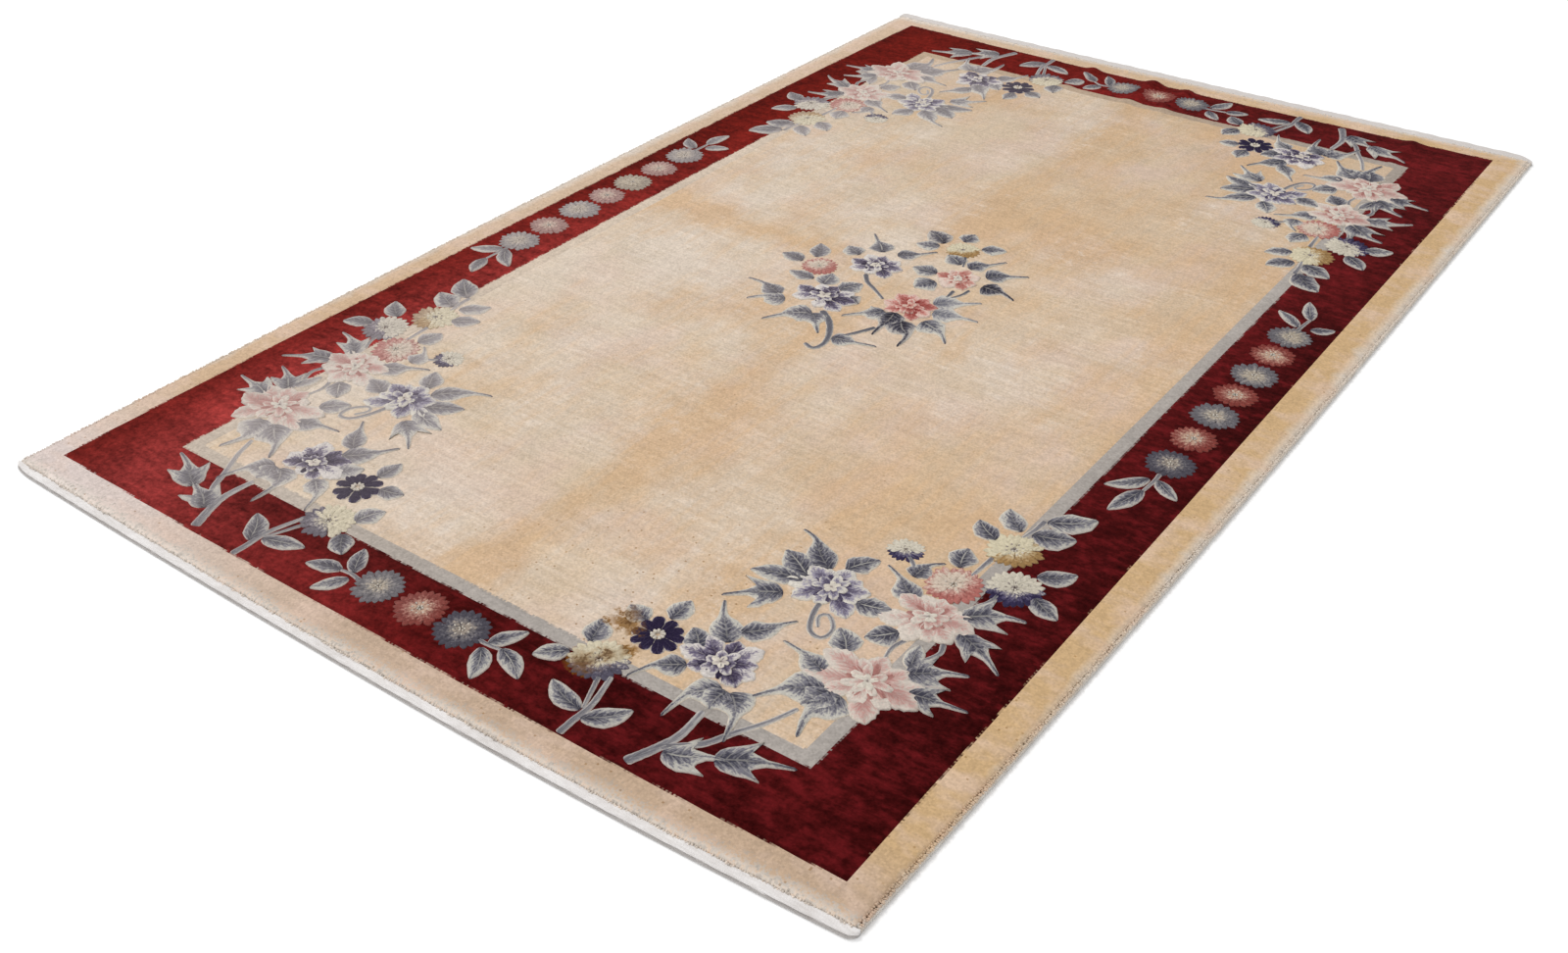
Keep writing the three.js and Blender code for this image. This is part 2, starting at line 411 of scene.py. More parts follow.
def stain_share(x, y, rough_edge):
    """How far a spill has soaked in at a place."""
    share = None
    for stain_x, stain_y, radius in STAINS:
        away = away_from(x + rough_edge, y - rough_edge, stain_x, stain_y)
        spot = 1.0 - away.past(radius, radius * 1.1)
        share = spot if share is None else share.most(spot)
    return share


pile_yarn, shader = new_material("pile_yarn", 0.95, 0.02)
t = Thread(pile_yarn.node_tree)
place, x, y, _ = t.on_object()

# Where a knot lies against each line of the drawing. The lines waver from knot to knot.
knot_x = ((x / KNOT).floor() + 0.5) * KNOT
knot_y = ((y / KNOT).floor() + 0.5) * KNOT
knot = t.vector(knot_x, knot_y)
grain = t.speckle(knot) - 0.5
line_x = knot_x + (t.noise(knot, 26.0) - 0.5) * LINE_WOBBLE + grain * LINE_GRAIN
line_y = knot_y + (t.noise(t.vector(knot_y, knot_x), 26.0) - 0.5) * LINE_WOBBLE + grain * LINE_GRAIN
sag_rate = line_x.below(NEAR_CREST_X) * (NEAR_SAG_LEFT - NEAR_SAG_RIGHT) + NEAR_SAG_RIGHT
from_crest = line_x - NEAR_CREST_X
sag = sag_rate * from_crest * from_crest
endward = (line_y / RED_FAR) * (line_y / RED_FAR)
endward = endward * endward
left_gap = line_x - (endward * RED_LEFT_CLOSES + RED_LEFT)
right_gap = (endward * -RED_RIGHT_CLOSES + RED_RIGHT) - line_x
bow = line_x - RED_FAR_BOW_X
far_gap = (bow * bow * RED_FAR_BOW + RED_FAR) - line_y
near_gap = line_y - sag - RED_NEAR
outer_line = left_gap.least(right_gap).least(far_gap)
in_red_line = outer_line.least(near_gap)
side_gap = GUARD_OUTER - abs(line_x - DESIGN_X)
in_guard_line = side_gap.least((line_y - sag * GUARD_SAG - GUARD_NEAR).least(GUARD_FAR - line_y))

# Clouds, streaks along and across the weave, and single tufts, which the colours share.
rightward = (x + FADE_SPAN / 2.0).filling(FADE_SPAN)
cloud = t.noise(t.vector(x, y * 0.8), 3.0, 3.0, 0.6)
haze = t.noise(t.vector(x * 0.8 + 4.3, y * 1.3), 9.0, 3.0, 0.65)
pass_streak = t.noise(t.vector(x * 7.0, y * 95.0), 1.0, 3.0, 0.65)
warp_streak = t.noise(t.vector(x * 60.0, y * 7.0 + 3.0), 1.0, 2.0, 0.6)
fine = t.noise(t.vector(x + 6.0, y), 90.0, 2.0, 0.7)
tuft = t.noise(place, 420.0, 1.0)
tone = (1.0 + grain * 0.20 + (pass_streak - 0.5) * 0.20 + (warp_streak - 0.5) * 0.12
        + (haze - 0.5) * 0.18 + (fine - 0.5) * 0.26)

# The field is pale to the left and gold to the right, a painted sheen, with old folds, wear and flecks.
field = rightward.between(FIELD_LEFT, FIELD_RIGHT)
rose_share = t.noise(t.vector(x + 13.0, y), 4.1, 3.0, 0.6).past(0.55, 0.2) * 0.6
field = rose_share.between(field, FIELD_ROSE)
pale_share = cloud * 0.75 + pass_streak * 0.25 + (0.5 - rightward) * 0.12 - (y - 0.3).past(0.2, 0.8) * 0.10
field = (pale_share.past(0.54, 0.26) * 0.70).between(field, FIELD_PALE)
gold_cloud = t.noise(t.vector(x, y * 0.7 + 9.0), 3.6, 4.0, 0.62) * 0.75 + warp_streak * 0.25
from_long = abs(x - FOLD_LONG[0] + (haze - 0.5) * 0.06) / FOLD_LONG[1]
from_across = abs(y - FOLD_ACROSS[0] + (haze - 0.5) * 0.08) / FOLD_ACROSS[1]
folded_long = (1.0 - from_long).most(0.0) * (1.0 - y.past(0.1, 0.9) * 0.35)
folded_across = (1.0 - from_across).most(0.0) * (-0.12 - x).past(0.0, 0.1)
folded = folded_long.most(folded_across)
gold_share = gold_cloud + (rightward - 0.5) * 0.10 + y.past(0.6, 1.4) * 0.05 + folded * 0.2
field = (gold_share.past(0.57, 0.24) * 0.70).between(field, FIELD_GOLD)
field = field.scaled(1.0 - (y - 0.55).past(0.0, 1.0) * 0.06)
worn = t.noise(t.vector(x + 21.0, y * 1.2), 26.0, 4.0, 0.72)
worn_through = (worn * 0.8 + pass_streak * 0.2).past(0.62, 0.16) * cloud.past(0.53, 0.16)
field = (worn_through * 0.5).between(field, FIELD_PALE)
field = field.scaled(1.0 + (worn - 0.5) * 0.18)
near_spill = 1.0 - away_from(x, y, *SPLASHES).past(0.28, 0.5)
fleck_noise = t.speckle(t.vector(knot_x + 7.3, knot_y)) + (haze - 0.5) * 0.006 + near_spill * 0.004
fleck = fleck_noise.past(FLECK, FLECK_SOFT)
field = (fleck * (0.35 + near_spill * 0.35)).between(field, STAIN)

# The guard stripe is painted paler toward the left and the middle as sheen, greys toward the right and
# the ends, and yellows at the far end.
guard = (abs(y) * 0.30 - 0.08 + rightward * 1.05).past(0.5, 0.8).between(GUARD_PALE, GUARD_GREY)
guard = (y.past(1.05, 0.3) * (0.45 - (x - 0.3).past(0.0, 0.4) * 0.33)).between(guard, FIELD_GOLD)
guard = guard.scaled(1.0 + (haze - 0.5) * 0.16 + (fine - 0.5) * 0.12 - y.past(1.05, 0.3) * 0.14)

# The red border is painted as sheen, palest at the near left and deepest to the right.
# Brushed pile shows in it as lighter and darker streaks and clouds of painted sheen.
red = (y + 0.2).past(0.0, 1.6).between(RED_PALE, RED_FAR_LEFT)
red = rightward.filling(0.526316).between(red, RED_MIDDLE)
red = (rightward - 0.45).filling(0.285714).between(red, RED_DEEP)
# Painted shade: the red is darker toward its outer line, where the pile slopes away, and most of all on the
# left.
inward = outer_line.filling(0.15)
red = ((1.0 - inward) * (1.0 - rightward) * 0.75).between(red, RED_FAR_LEFT)
# Painted shade along the near end: the inner part of the near border is darker in the middle of the rug,
# and the whole near border is a little darker to the left and middle.
shadowed = near_gap.past(0.085, 0.06) * (0.24 - near_gap).past(0.0, 0.05) * (0.5 - abs(x)).past(0.0, 0.3)
near_band = (-1.25 - y).past(0.0, 0.15)
red_tone = 1.0 + y * (rightward - 0.5) * 0.24 + y.most(0.0) * rightward * 0.16
red_tone = red_tone * (0.78 + inward * 0.38) * (1.0 - shadowed * 0.42 + (pass_streak - 0.5) * 0.4)
red_tone = red_tone * (1.0 - near_band * (0.55 - rightward).past(0.0, 0.5) * 0.16)
# Painted sheen: streaks and clouds lighten and darken the red, and lighten it further to the right.
sheen_streak = t.noise(t.vector(x * 24.0 + y * 11.0, y * 40.0 - x * 9.0), 1.0, 3.0, 0.65)
mottle = (cloud - 0.5) * 0.7 + (haze - 0.5) * 0.7 + (sheen_streak - 0.5) * 1.3 + (fine - 0.5) * 1.0
red = red.scaled(red_tone * (1.0 + mottle))
sheen_streak_share = sheen_streak * 0.55 + haze * 0.30 + pass_streak * 0.15 + near_band * 0.02
red = (sheen_streak_share.past(0.56, 0.14) * rightward * 0.34).between(red, RED_SHEEN)

# The cream border is painted paler to the left and more golden to the right as sheen. It is palest
# along its rim, where the pile has thinned and its rolled edge is painted with sheen.
cream = rightward.between(CREAM_LEFT, CREAM_RIGHT)
corner_share = (-1.30 - y).past(0.0, 0.3) * (0.6 - rightward).past(0.2, 0.8)
cream = corner_share.between(cream, CREAM_CORNER)
cream = ((-1.43 - y).past(0.0, 0.1) * (x + 0.35).past(0.0, 0.5) * 0.85).between(cream, CREAM_NEAR)
yellowed = (0.45 - abs(y + 0.85)).past(0.0, 0.3) * (0.4 - rightward).past(0.0, 0.2)
cream = (yellowed * 0.4).between(cream, FIELD_GOLD)
cream = (haze.past(0.55, 0.2) * 0.5).between(cream, FIELD_ROSE)
end_gap = (y + HALF_LENGTH - sag - NEAR_RIM).least(FAR_RIM - y)
ragged_gap = end_gap + (haze - 0.5) * 0.030 + (fine - 0.5) * 0.020 + grain * 0.020
end_rim = 1.0 - ragged_gap.past(0.020, 0.020)
side_rim = 1.0 - (HALF_WIDTH - abs(x) + (haze - 0.5) * 0.045).past(0.018, 0.026)
cream = (end_rim.most(side_rim) * 0.85).between(cream, CREAM_OUTER)
cream = cream.scaled(1.0 + end_rim * (grain * 0.32 + (fine - 0.5) * 0.4))
cream = ((fleck_noise + 0.002).past(FLECK, FLECK_SOFT) * 0.5).between(cream, STAIN)

colour = in_red_line.past(0.0, LINE_SOFT).between(cream, red)
colour = in_guard_line.past(0.0, LINE_SOFT).between(colour, guard)
colour = in_guard_line.past(GUARD_WIDTH, LINE_SOFT).between(colour, field)
stained = stain_share(x, y, (haze - 0.5) * 0.05 + (fine - 0.5) * 0.04)
colour = (stained * 1.2).least(0.85).between(colour, STAIN)
soaked = (stained + (fine - 0.5) * 0.9 + grain * 0.3).past(0.98, 0.25)
colour = (soaked * 0.75).between(colour, STAIN_CORE)
finish_material(shader, colour.scaled(tone), tuft + grain * 0.5 + pass_streak * 0.6, 0.0010, 0.5)

# The columns and rows of the slab follow the drawn lines and ripples, so that each is crisp.
RIPPLE_SHARES = (-1.3, -1.0, -0.75, -0.5, -0.25, 0.0, 0.25, 0.5, 0.75, 1.0, 1.3)
LAST_RIPPLE_SHARES = (-1.4, -1.0, -0.6, -0.25, 0.0, 0.25)
ripple_columns = [
    fixed(at + share * half)
    for at, half, _ in RIPPLES[:3]
    for share in RIPPLE_SHARES
]
ripple_columns = [line for line in ripple_columns if not 0.0 < line(0.0) < 0.012]
last_ripple = [fixed(RIPPLES[3][0] + share * RIPPLES[3][1]) for share in LAST_RIPPLE_SHARES]
columns = [lambda y, inset=inset: inset - slab_half(y) for inset in RIM_INSETS]
columns += beside(red_left) + beside(fixed(DESIGN_X - GUARD_OUTER)) + beside(fixed(DESIGN_X - GUARD_INNER))
columns += ripple_columns + last_ripple
columns += beside(fixed(DESIGN_X + GUARD_INNER)) + beside(fixed(DESIGN_X + GUARD_OUTER)) + beside(red_right)
columns += [lambda y, inset=inset: slab_half(y) - inset for inset in reversed(RIM_INSETS)]
columns = filled(columns, GROUND_STEP)

rows = [shifted(near_pile, inset) for inset in RIM_INSETS]
rows += [shifted(near_pile, BAND_LAP + GAP), shifted(near_pile, BAND_LAP + 2.0 * GAP)]
rows += beside(red_near) + beside(guard_near) + beside(shifted(guard_near, GUARD_WIDTH))
rows += [fixed(RIPPLE_STARTS), fixed(GUARD_FAR - GUARD_WIDTH - 0.02)]
rows += beside(fixed(GUARD_FAR - GUARD_WIDTH)) + beside(fixed(GUARD_FAR)) + beside(red_far)
rows += [shifted(far_pile, -BAND_LAP - 2.0 * GAP), shifted(far_pile, -BAND_LAP - GAP)]
rows += [shifted(far_pile, -inset) for inset in reversed(RIM_INSETS)]
rows = filled(rows, GROUND_STEP)

grid_x = np.stack([column(np.zeros(len(rows))) + np.zeros(len(rows)) for column in columns])
for _ in range(4):
    grid_y = np.stack([row(grid_x[:, j]) for j, row in enumerate(rows)], axis=1)
    grid_x = np.stack([column(grid_y[i]) for i, column in enumerate(columns)])
top = np.stack([grid_x, grid_y, pile_top(grid_x, grid_y)], axis=-1)
lap = np.minimum(grid_y - near_pile(grid_x), far_pile(grid_x) - grid_y)
lift = np.where(lap < BAND_LAP + 1.5 * GAP, BAND_CLOTH + GAP, 0.0)
bottom = np.stack([grid_x, grid_y, lift + ripple(grid_x, grid_y)], axis=-1)
woven_rug = new_piece("woven_pile", grid_slab("woven_pile", top, bottom), pile_yarn)
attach(woven_rug, "root")
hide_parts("woven_rug")


# Stems and leaves
# The same knotted pile in slate and silver silk. The shears cut round each leaf, so it stands
# up as a low dome with a bevelled edge, painted pale as a highlight, and a groove down its middle.
BEVEL = 0.0036
BEVEL_OPENS = 4.0
UNDER = -0.0032
POLE = -0.001
# Each point of a cross-section has its share of the half width and of the bevel, and its height.
CROSS = ((-1.0, 1.0, -0.0026), (-1.0, 0.55, 0.0003), (-1.0, 0.0, 0.0011), (-0.76, 0.0, 0.0019),
         (-0.4, 0.0, 0.0023), (0.0, 0.0, 0.0017), (0.4, 0.0, 0.0023), (0.76, 0.0, 0.0019),
         (1.0, 0.0, 0.0011), (1.0, 0.55, 0.0003), (1.0, 1.0, -0.0026))
# Each point of an outline has how far along the form it is, from 1 to 2 down its tail, its share
# of the half width, and how far its edge is swept forward.
LEAF = ((0.0, 0.0), (0.05, 0.26), (0.13, 0.58), (0.26, 0.88), (0.42, 1.0), (0.58, 0.93), (0.73, 0.70),
        (0.86, 0.40), (0.95, 0.15), (1.0, 0.0))
TAIL = ((1.3, 0.15), (1.6, 0.12), (1.87, 0.08), (2.0, 0.0))
TAILED = ((0.0, 0.0), (0.05, 0.34), (0.13, 0.64), (0.26, 0.92), (0.42, 1.0), (0.58, 0.90), (0.73, 0.64),
          (0.87, 0.36), (1.0, 0.20), *TAIL)
BARBED = ((0.0, 0.0), (0.05, 0.34), (0.14, 0.64), (0.28, 0.84), (0.44, 0.98), (0.55, 1.14, 0.25),
          (0.60, 1.38, 0.80), (0.66, 0.66, 0.10), (0.78, 0.46), (0.90, 0.30), (1.0, 0.20), (1.3, 0.16),
          *TAIL[1:])
STEM = ((0.0, 0.0), (0.01, 0.8), (0.03, 1.1), *((k / 28.0, 1.1 - 0.016 * k) for k in range(2, 27)),
        (0.97, 0.65), (0.99, 0.5), (1.0, 0.0))
STEM_BEVEL = 0.003
STEPS_A_SPAN = 16
WAY_STEP = 0.0015


def curve_through(points, body):
    """A smooth curve through points, read at 0 to 1 up to point number body and 1 to 2 beyond it."""
    points = [points[0] * 2.0 - points[1], *points, points[-1] * 2.0 - points[-2]]
    samples = []
    for k in range(1, len(points) - 2):
        before, start, end, after = points[k - 1 : k + 3]
        for share in np.linspace(0.0, 1.0, STEPS_A_SPAN, endpoint=False):
            third = 3.0 * (start - end) + after - before
            second = 2.0 * before - 5.0 * start + 4.0 * end - after + share * third
            samples.append(start + 0.5 * share * (end - before + share * second))
    samples = np.array([*samples, points[-2]])
    run = np.concatenate([[0.0], np.cumsum(np.linalg.norm(np.diff(samples, axis=0), axis=1))])
    mark = run[body * STEPS_A_SPAN]
    ends = run[-1]

    def at_length(length):
        return np.stack([np.interp(length, run, samples[:, axis]) for axis in (0, 1)], -1)

    def read(at):
        length = np.where(at <= 1.0, at * mark, mark + (at - 1.0) * (ends - mark))
        way = at_length(np.minimum(length + WAY_STEP, ends)) - at_length(np.maximum(length - WAY_STEP, 0.0))
        return at_length(length), way / np.linalg.norm(way, axis=1, keepdims=True)

    return read


def keep_on_points(mesh, label, values):
    """Keeps a number, a vector or a colour on each point of a mesh."""
    values = np.array(values, dtype=np.float32)
    kinds = {1: ("FLOAT", "value"), 3: ("FLOAT_VECTOR", "vector"), 4: ("FLOAT_COLOR", "color")}
    kind, field = kinds[values[0].size]
    mesh.attributes.new(label, kind, "POINT").data.foreach_set(field, values.ravel())


class Carving:
    """Gathers raised forms into one closed mesh, with the dyes of their yarn kept on its points."""

    def __init__(self):
        self.points = []
        self.faces = []
        self.kept = {name: [] for name in ("along", "across", "reach", "lot", "core", "mid", "rim")}
        self.random = np.random.default_rng(7)

    def form(self, points, outline, half, dyes, body=None, lift=0.0, reach=1.0, bevel=BEVEL, tall=1.0,
             ragged=0.06, cross=CROSS):
        """Adds a form along a line. Outline gives its width along the line, and cross its height across."""
        read = curve_through([np.array(point) for point in points], body or len(points) - 1)
        stations = np.array([(*station, 0.0)[:3] for station in outline])
        place, way = read(stations[:, 0])
        side = np.stack([-way[:, 1], way[:, 0]], -1)
        cross = np.array(cross)
        bevelled = np.minimum(stations[:, 1] * BEVEL_OPENS, 1.0)
        uneven = 1.0 + ragged * self.random.uniform(-1.0, 1.0, (2, len(stations)))
        spread = np.where(cross[:, 0] < 0.0, uneven[0][:, None], uneven[1][:, None]) * stations[:, 1:2]
        out = cross[:, 0] * half * spread + np.sign(cross[:, 0]) * cross[:, 1] * bevel * bevelled[:, None]
        forward = stations[:, 2:3] * half * cross[:, 0] ** 2
        flat = place[:, None] + side[:, None] * out[..., None] + way[:, None] * forward[..., None]
        height = np.where(cross[:, 2] > 0.0, cross[:, 2] * tall + lift, cross[:, 2])
        height = height * np.ones((len(stations), 1))
        top = np.concatenate([flat, height[..., None]], -1)[1:-1]
        rows, width = top.shape[:2]
        under = top[:, width // 2].copy()
        under[:, 2] = UNDER
        poles = np.concatenate([place[[0, -1]], [[POLE], [POLE]]], -1)
        base = sum(len(part) for part in self.points)
        upper = base + np.arange(rows * width).reshape(rows, width)
        middle = base + rows * width + np.arange(rows)
        lower = np.stack([upper[:, 0], middle, upper[:, -1]], -1)
        first = base + rows * width + rows
        last = first + 1
        for sheet, turn in ((upper, 1), (lower, -1)):
            quads = np.stack([sheet[:-1, :-1], sheet[1:, :-1], sheet[1:, 1:], sheet[:-1, 1:]], -1)
            self.faces += quads.reshape(-1, 4)[:, ::turn].tolist()
            for k in range(sheet.shape[1] - 1):
                self.faces.append([first, int(sheet[0, k]), int(sheet[0, k + 1])][::turn])
                self.faces.append([last, int(sheet[-1, k + 1]), int(sheet[-1, k])][::turn])
        self.points.append(np.concatenate([top.reshape(-1, 3), under, poles]))
        count = len(self.points[-1])
        along = stations[1:-1, 0]
        across = np.tile(cross[:, 0] * (1.0 + 0.6 * cross[:, 1]), rows)
        self.kept["along"].append(np.concatenate([np.repeat(along, width), along, stations[[0, -1], 0]]))
        self.kept["across"].append(np.concatenate([across, np.zeros(rows + 2)]))
        self.kept["reach"].append(np.full(count, reach))
        self.kept["lot"].append(np.full(count, self.random.random()))
        for name, value in zip(("core", "mid", "rim"), dyes):
            self.kept[name].append(np.tile(np.array(value), (count, 1)))

    def mesh(self, name):
        mesh = new_mesh(name, np.concatenate(self.points), self.faces)
        for label, parts in self.kept.items():
            keep_on_points(mesh, label, np.concatenate(parts))
        return mesh


def lay_on_pile(mesh):
    """Turns the height of each point over flat pile into its height over the floor."""
    points = np.empty(len(mesh.vertices) * 3, dtype=np.float32)
    mesh.vertices.foreach_get("co", points)
    points = points.reshape(-1, 3)
    px, py = points[:, 0].astype(float), points[:, 1].astype(float)
    points[:, 2] += RUG_TOP + ripple(px, py) + unevenness(px, py)
    mesh.vertices.foreach_set("co", points.ravel())
    keep_on_points(mesh, "on_red", (in_red(px, py) > 0.0) & (in_guard(px, py, 0.0) < 0.0))
    mesh.update()


BEVEL_HIGHLIGHT_CREAM = dye(205, 194, 178)
BEVEL_HIGHLIGHT_ON_RED = dye(184, 172, 164)
LEFT_SHEEN_PALE = dye(198, 186, 180)


def carved_yarn(name, fade, crown, veins, edge, left_sheen, left_sheen_on_red):
    """Yarn in three dyes, from a core at the base and middle of each form to a rim along its edges.

    Fade says how fast the core ends toward the tip, crown how fast it ends toward the sides, and
    edge how far the bevel is painted paler than the rim, a painted highlight on the carved edge. The
    last two say how far the yarn is painted paler toward the left side of the rug, on the cream and
    on the red, as a painted sheen."""
    material, shader = new_material(name, 0.95, 0.02)
    t = Thread(material.node_tree)

    def kept(label, out=2):
        return t.node("ShaderNodeAttribute", {"attribute_name": label}, None, out=out)

    place, x, y, _ = t.on_object()
    along = kept("along")
    across = kept("across")
    side = abs(across)
    lot = kept("lot")
    on_red = kept("on_red")
    grain = t.speckle(t.vector((x / KNOT).floor(), (y / KNOT).floor())) - 0.5
    fibre = t.noise(t.vector((along - side * 0.35) * 12.0 + lot * 37.0, across * 2.0), 1.0, 3.0, 0.75) - 0.5
    patch = t.noise(t.vector(x + lot, y), 70.0, 2.0, 0.65) - 0.5
    tail = (along - 1.0).most(0.0)
    depth = (kept("reach") - along.least(1.0)) * fade + (1.0 - side) * crown + tail * 0.9
    depth = depth + fibre * 2.6 + patch * 1.0 + grain * 0.7
    colour = depth.past(0.85, 0.65).between(kept("rim", 0), kept("mid", 0))
    colour = depth.past(1.65, 0.70).between(colour, kept("core", 0))
    vein = (1.0 - side.past(0.05, 0.05)) * along.past(0.16, 0.1) * (1.0 - along.past(0.85, 0.2))
    vein = vein * (lot + 0.2)
    ribs = ((along * 34.0 - side * 9.0 + fibre * 3.0).sine() + 1.0) * 0.5
    colour = ((vein * 0.7).most(ribs.past(0.95, 0.10) * 0.35) * veins).between(colour, kept("rim", 0))
    # Painted highlight: the bevel round each form is painted pale, less so on the red.
    bevel = on_red.between(BEVEL_HIGHLIGHT_CREAM, BEVEL_HIGHLIGHT_ON_RED)
    colour = ((side + grain * 0.16 + patch * 0.5).past(1.05, 0.14) * edge).between(colour, bevel)
    # Painted sheen: the yarn is painted paler toward the left side of the rug.
    paler_share = (0.05 - x).most(0.0) * (on_red * (left_sheen_on_red - left_sheen) + left_sheen)
    colour = paler_share.between(colour, LEFT_SHEEN_PALE)
    stained = stain_share(x, y, patch * 0.04)
    colour = (stained * 0.7).between(colour, STAIN)
    colour = ((stained + patch * 0.9 + grain * 0.3).past(0.98, 0.25) * 0.7).between(colour, STAIN_CORE)
    tuft = t.noise(place, 420.0, 1.0)
    colour = colour.scaled(1.0 + grain * 0.24 + patch * 0.24 - on_red * 0.08)
    finish_material(shader, colour, tuft + grain * 0.5 + fibre * 1.2, 0.0011, 0.6)
    return material


SLATE = (dye(64, 63, 74), dye(118, 116, 124), dye(190, 186, 177))
DARK_SLATE = (dye(42, 40, 50), dye(84, 82, 92), dye(176, 170, 164))
SILVER = (dye(104, 102, 108), dye(134, 131, 135), dye(180, 176, 173))
STEM_SLATE = (dye(84, 84, 92), dye(98, 98, 106), dye(140, 138, 140))
PALE_SLATE = (dye(92, 92, 102), dye(142, 140, 144), dye(192, 188, 180))
# Each leaf is given by its base and tip in the drawing, in millimetres, its width, and where its
# tail ends if it has one. Each stem is given by its width and the points that it passes through.
LEAVES = (
    (456, -924, 392, -867, 36, 356, -854), (476, -908, 510, -852, 32),
    (612, -908, 558, -872, 34, 522, -854), (440, -962, 366, -920, 36), (440, -974, 349, -1000, 30),
    (535, -972, 594, -952, 34), (631, -992, 592, -1036, 34), (592, -1084, 548, -1038, 36),
    (588, -1140, 535, -1122, 34, 495, -1116), (432, -1142, 474, -1085, 32, 490, -1063),
    (433, -1172, 385, -1119, 40, 365, -1088), (408, -1217, 367, -1174, 34),
    (414, -1250, 372, -1285, 32, 356, -1328), (612, -1172, 556, -1216, 50, 532, -1254),
    (640, -1170, 622, -1236, 52, 636, -1284), (620, -1168, 600, -1222, 44),
    (490, -1262, 454, -1308, 40, 452, -1366), (503, -1262, 540, -1302, 42, 558, -1356),
    (497, -1262, 500, -1310, 40), (362, -1440, 415, -1378, 34), (352, -1425, 272, -1397, 30),
    (328, -1180, 326, -1122, 28), (300, -1205, 252, -1190, 30), (262, -1298, 240, -1243, 33),
    (252, -1332, 210, -1374, 35), (676, -592, 745, -533, 38), (672, -640, 742, -608, 38),
    (655, -642, 606, -592, 30), (633, -688, 580, -652, 30), (733, -740, 786, -693, 36),
    (622, -792, 608, -735, 34), (755, -790, 812, -820, 36), (575, -858, 580, -815, 30, 600, -795),
    (688, -1058, 672, -999, 22),
)
BARBED_LEAVES = (
    (688, -904, 744, -860, 42, 778, -852), (704, -938, 770, -968, 42, 803, -992),
    (430, -1018, 381, -1054, 40, 352, -1083), (688, -1072, 736, -1033, 42, 770, -1017),
    (713, -1108, 766, -1096, 42, 808, -1089), (500, -1424, 558, -1392, 50, 592, -1380),
    (568, -1392, 634, -1352, 50, 676, -1336),
)
STEMS = (
    (15, (470, -1468), (480, -1444), (492, -1412), (500, -1376), (496, -1318)),
    (11, (486, -1420), (535, -1376), (558, -1331), (585, -1281), (604, -1230)),
    (8, (490, -1004), (499, -1040), (517, -1072), (540, -1076), (545, -1055), (535, -1035), (517, -1022),
     (508, -1035), (522, -1058)),
    (10, (358, -1481), (357, -1450), (357, -1405), (340, -1340)),
    (6, (325, -1352), (338, -1385), (352, -1420)), (7, (699, -976), (705, -1000), (690, -1035)),
    (9, (672, -590), (671, -618), (665, -655)), (8, (652, -735), (650, -765), (648, -800)),
    (7, (540, -815), (560, -832), (580, -856)), (7, (648, -1000), (640, -1030), (645, -1062)),
    (6, (706, -812), (704, -840), (690, -870)),
)
END_LEAVES = (
    (-157, -1397, -192, -1338, 26), (-178, -1402, -243, -1425, 27), (-152, -1410, -186, -1467, 26),
    (140, -1397, 173, -1336, 28), (163, -1392, 233, -1430, 30), (137, -1407, 175, -1473, 28),
    (-143, 1368, -178, 1433, 24), (-187, 1372, -238, 1403, 28), (-160, 1352, -193, 1305, 28),
    (143, 1378, 177, 1447, 30), (187, 1372, 243, 1393, 27), (147, 1355, 193, 1308, 26),
    (790, 340, 834, 367, 22), (777, 380, 746, 460, 24), (767, 337, 707, 385, 24),
    (770, -357, 826, -398, 24), (765, -400, 740, -494, 30), (760, -360, 700, -425, 26),
    (-762, 350, -710, 385, 26), (-772, 375, -760, 455, 28), (-782, 335, -835, 378, 26),
    (-772, -370, -707, -432, 28), (-775, -430, -755, -499, 28), (-777, -372, -840, -415, 30),
)
END_STEMS = (
    (6, (-138, -1403), (-160, -1400), (-182, -1403)), (6, (122, -1397), (142, -1397), (166, -1394)),
    (6, (-138, 1365), (-165, 1360), (-190, 1373)), (6, (132, 1368), (155, 1370), (190, 1373)),
    (6, (770, 325), (772, 350), (776, 385)), (6, (767, -335), (768, -362), (765, -404)),
    (6, (-774, 322), (-773, 350), (-772, 380)), (6, (-774, -355), (-775, -390), (-775, -434)),
)
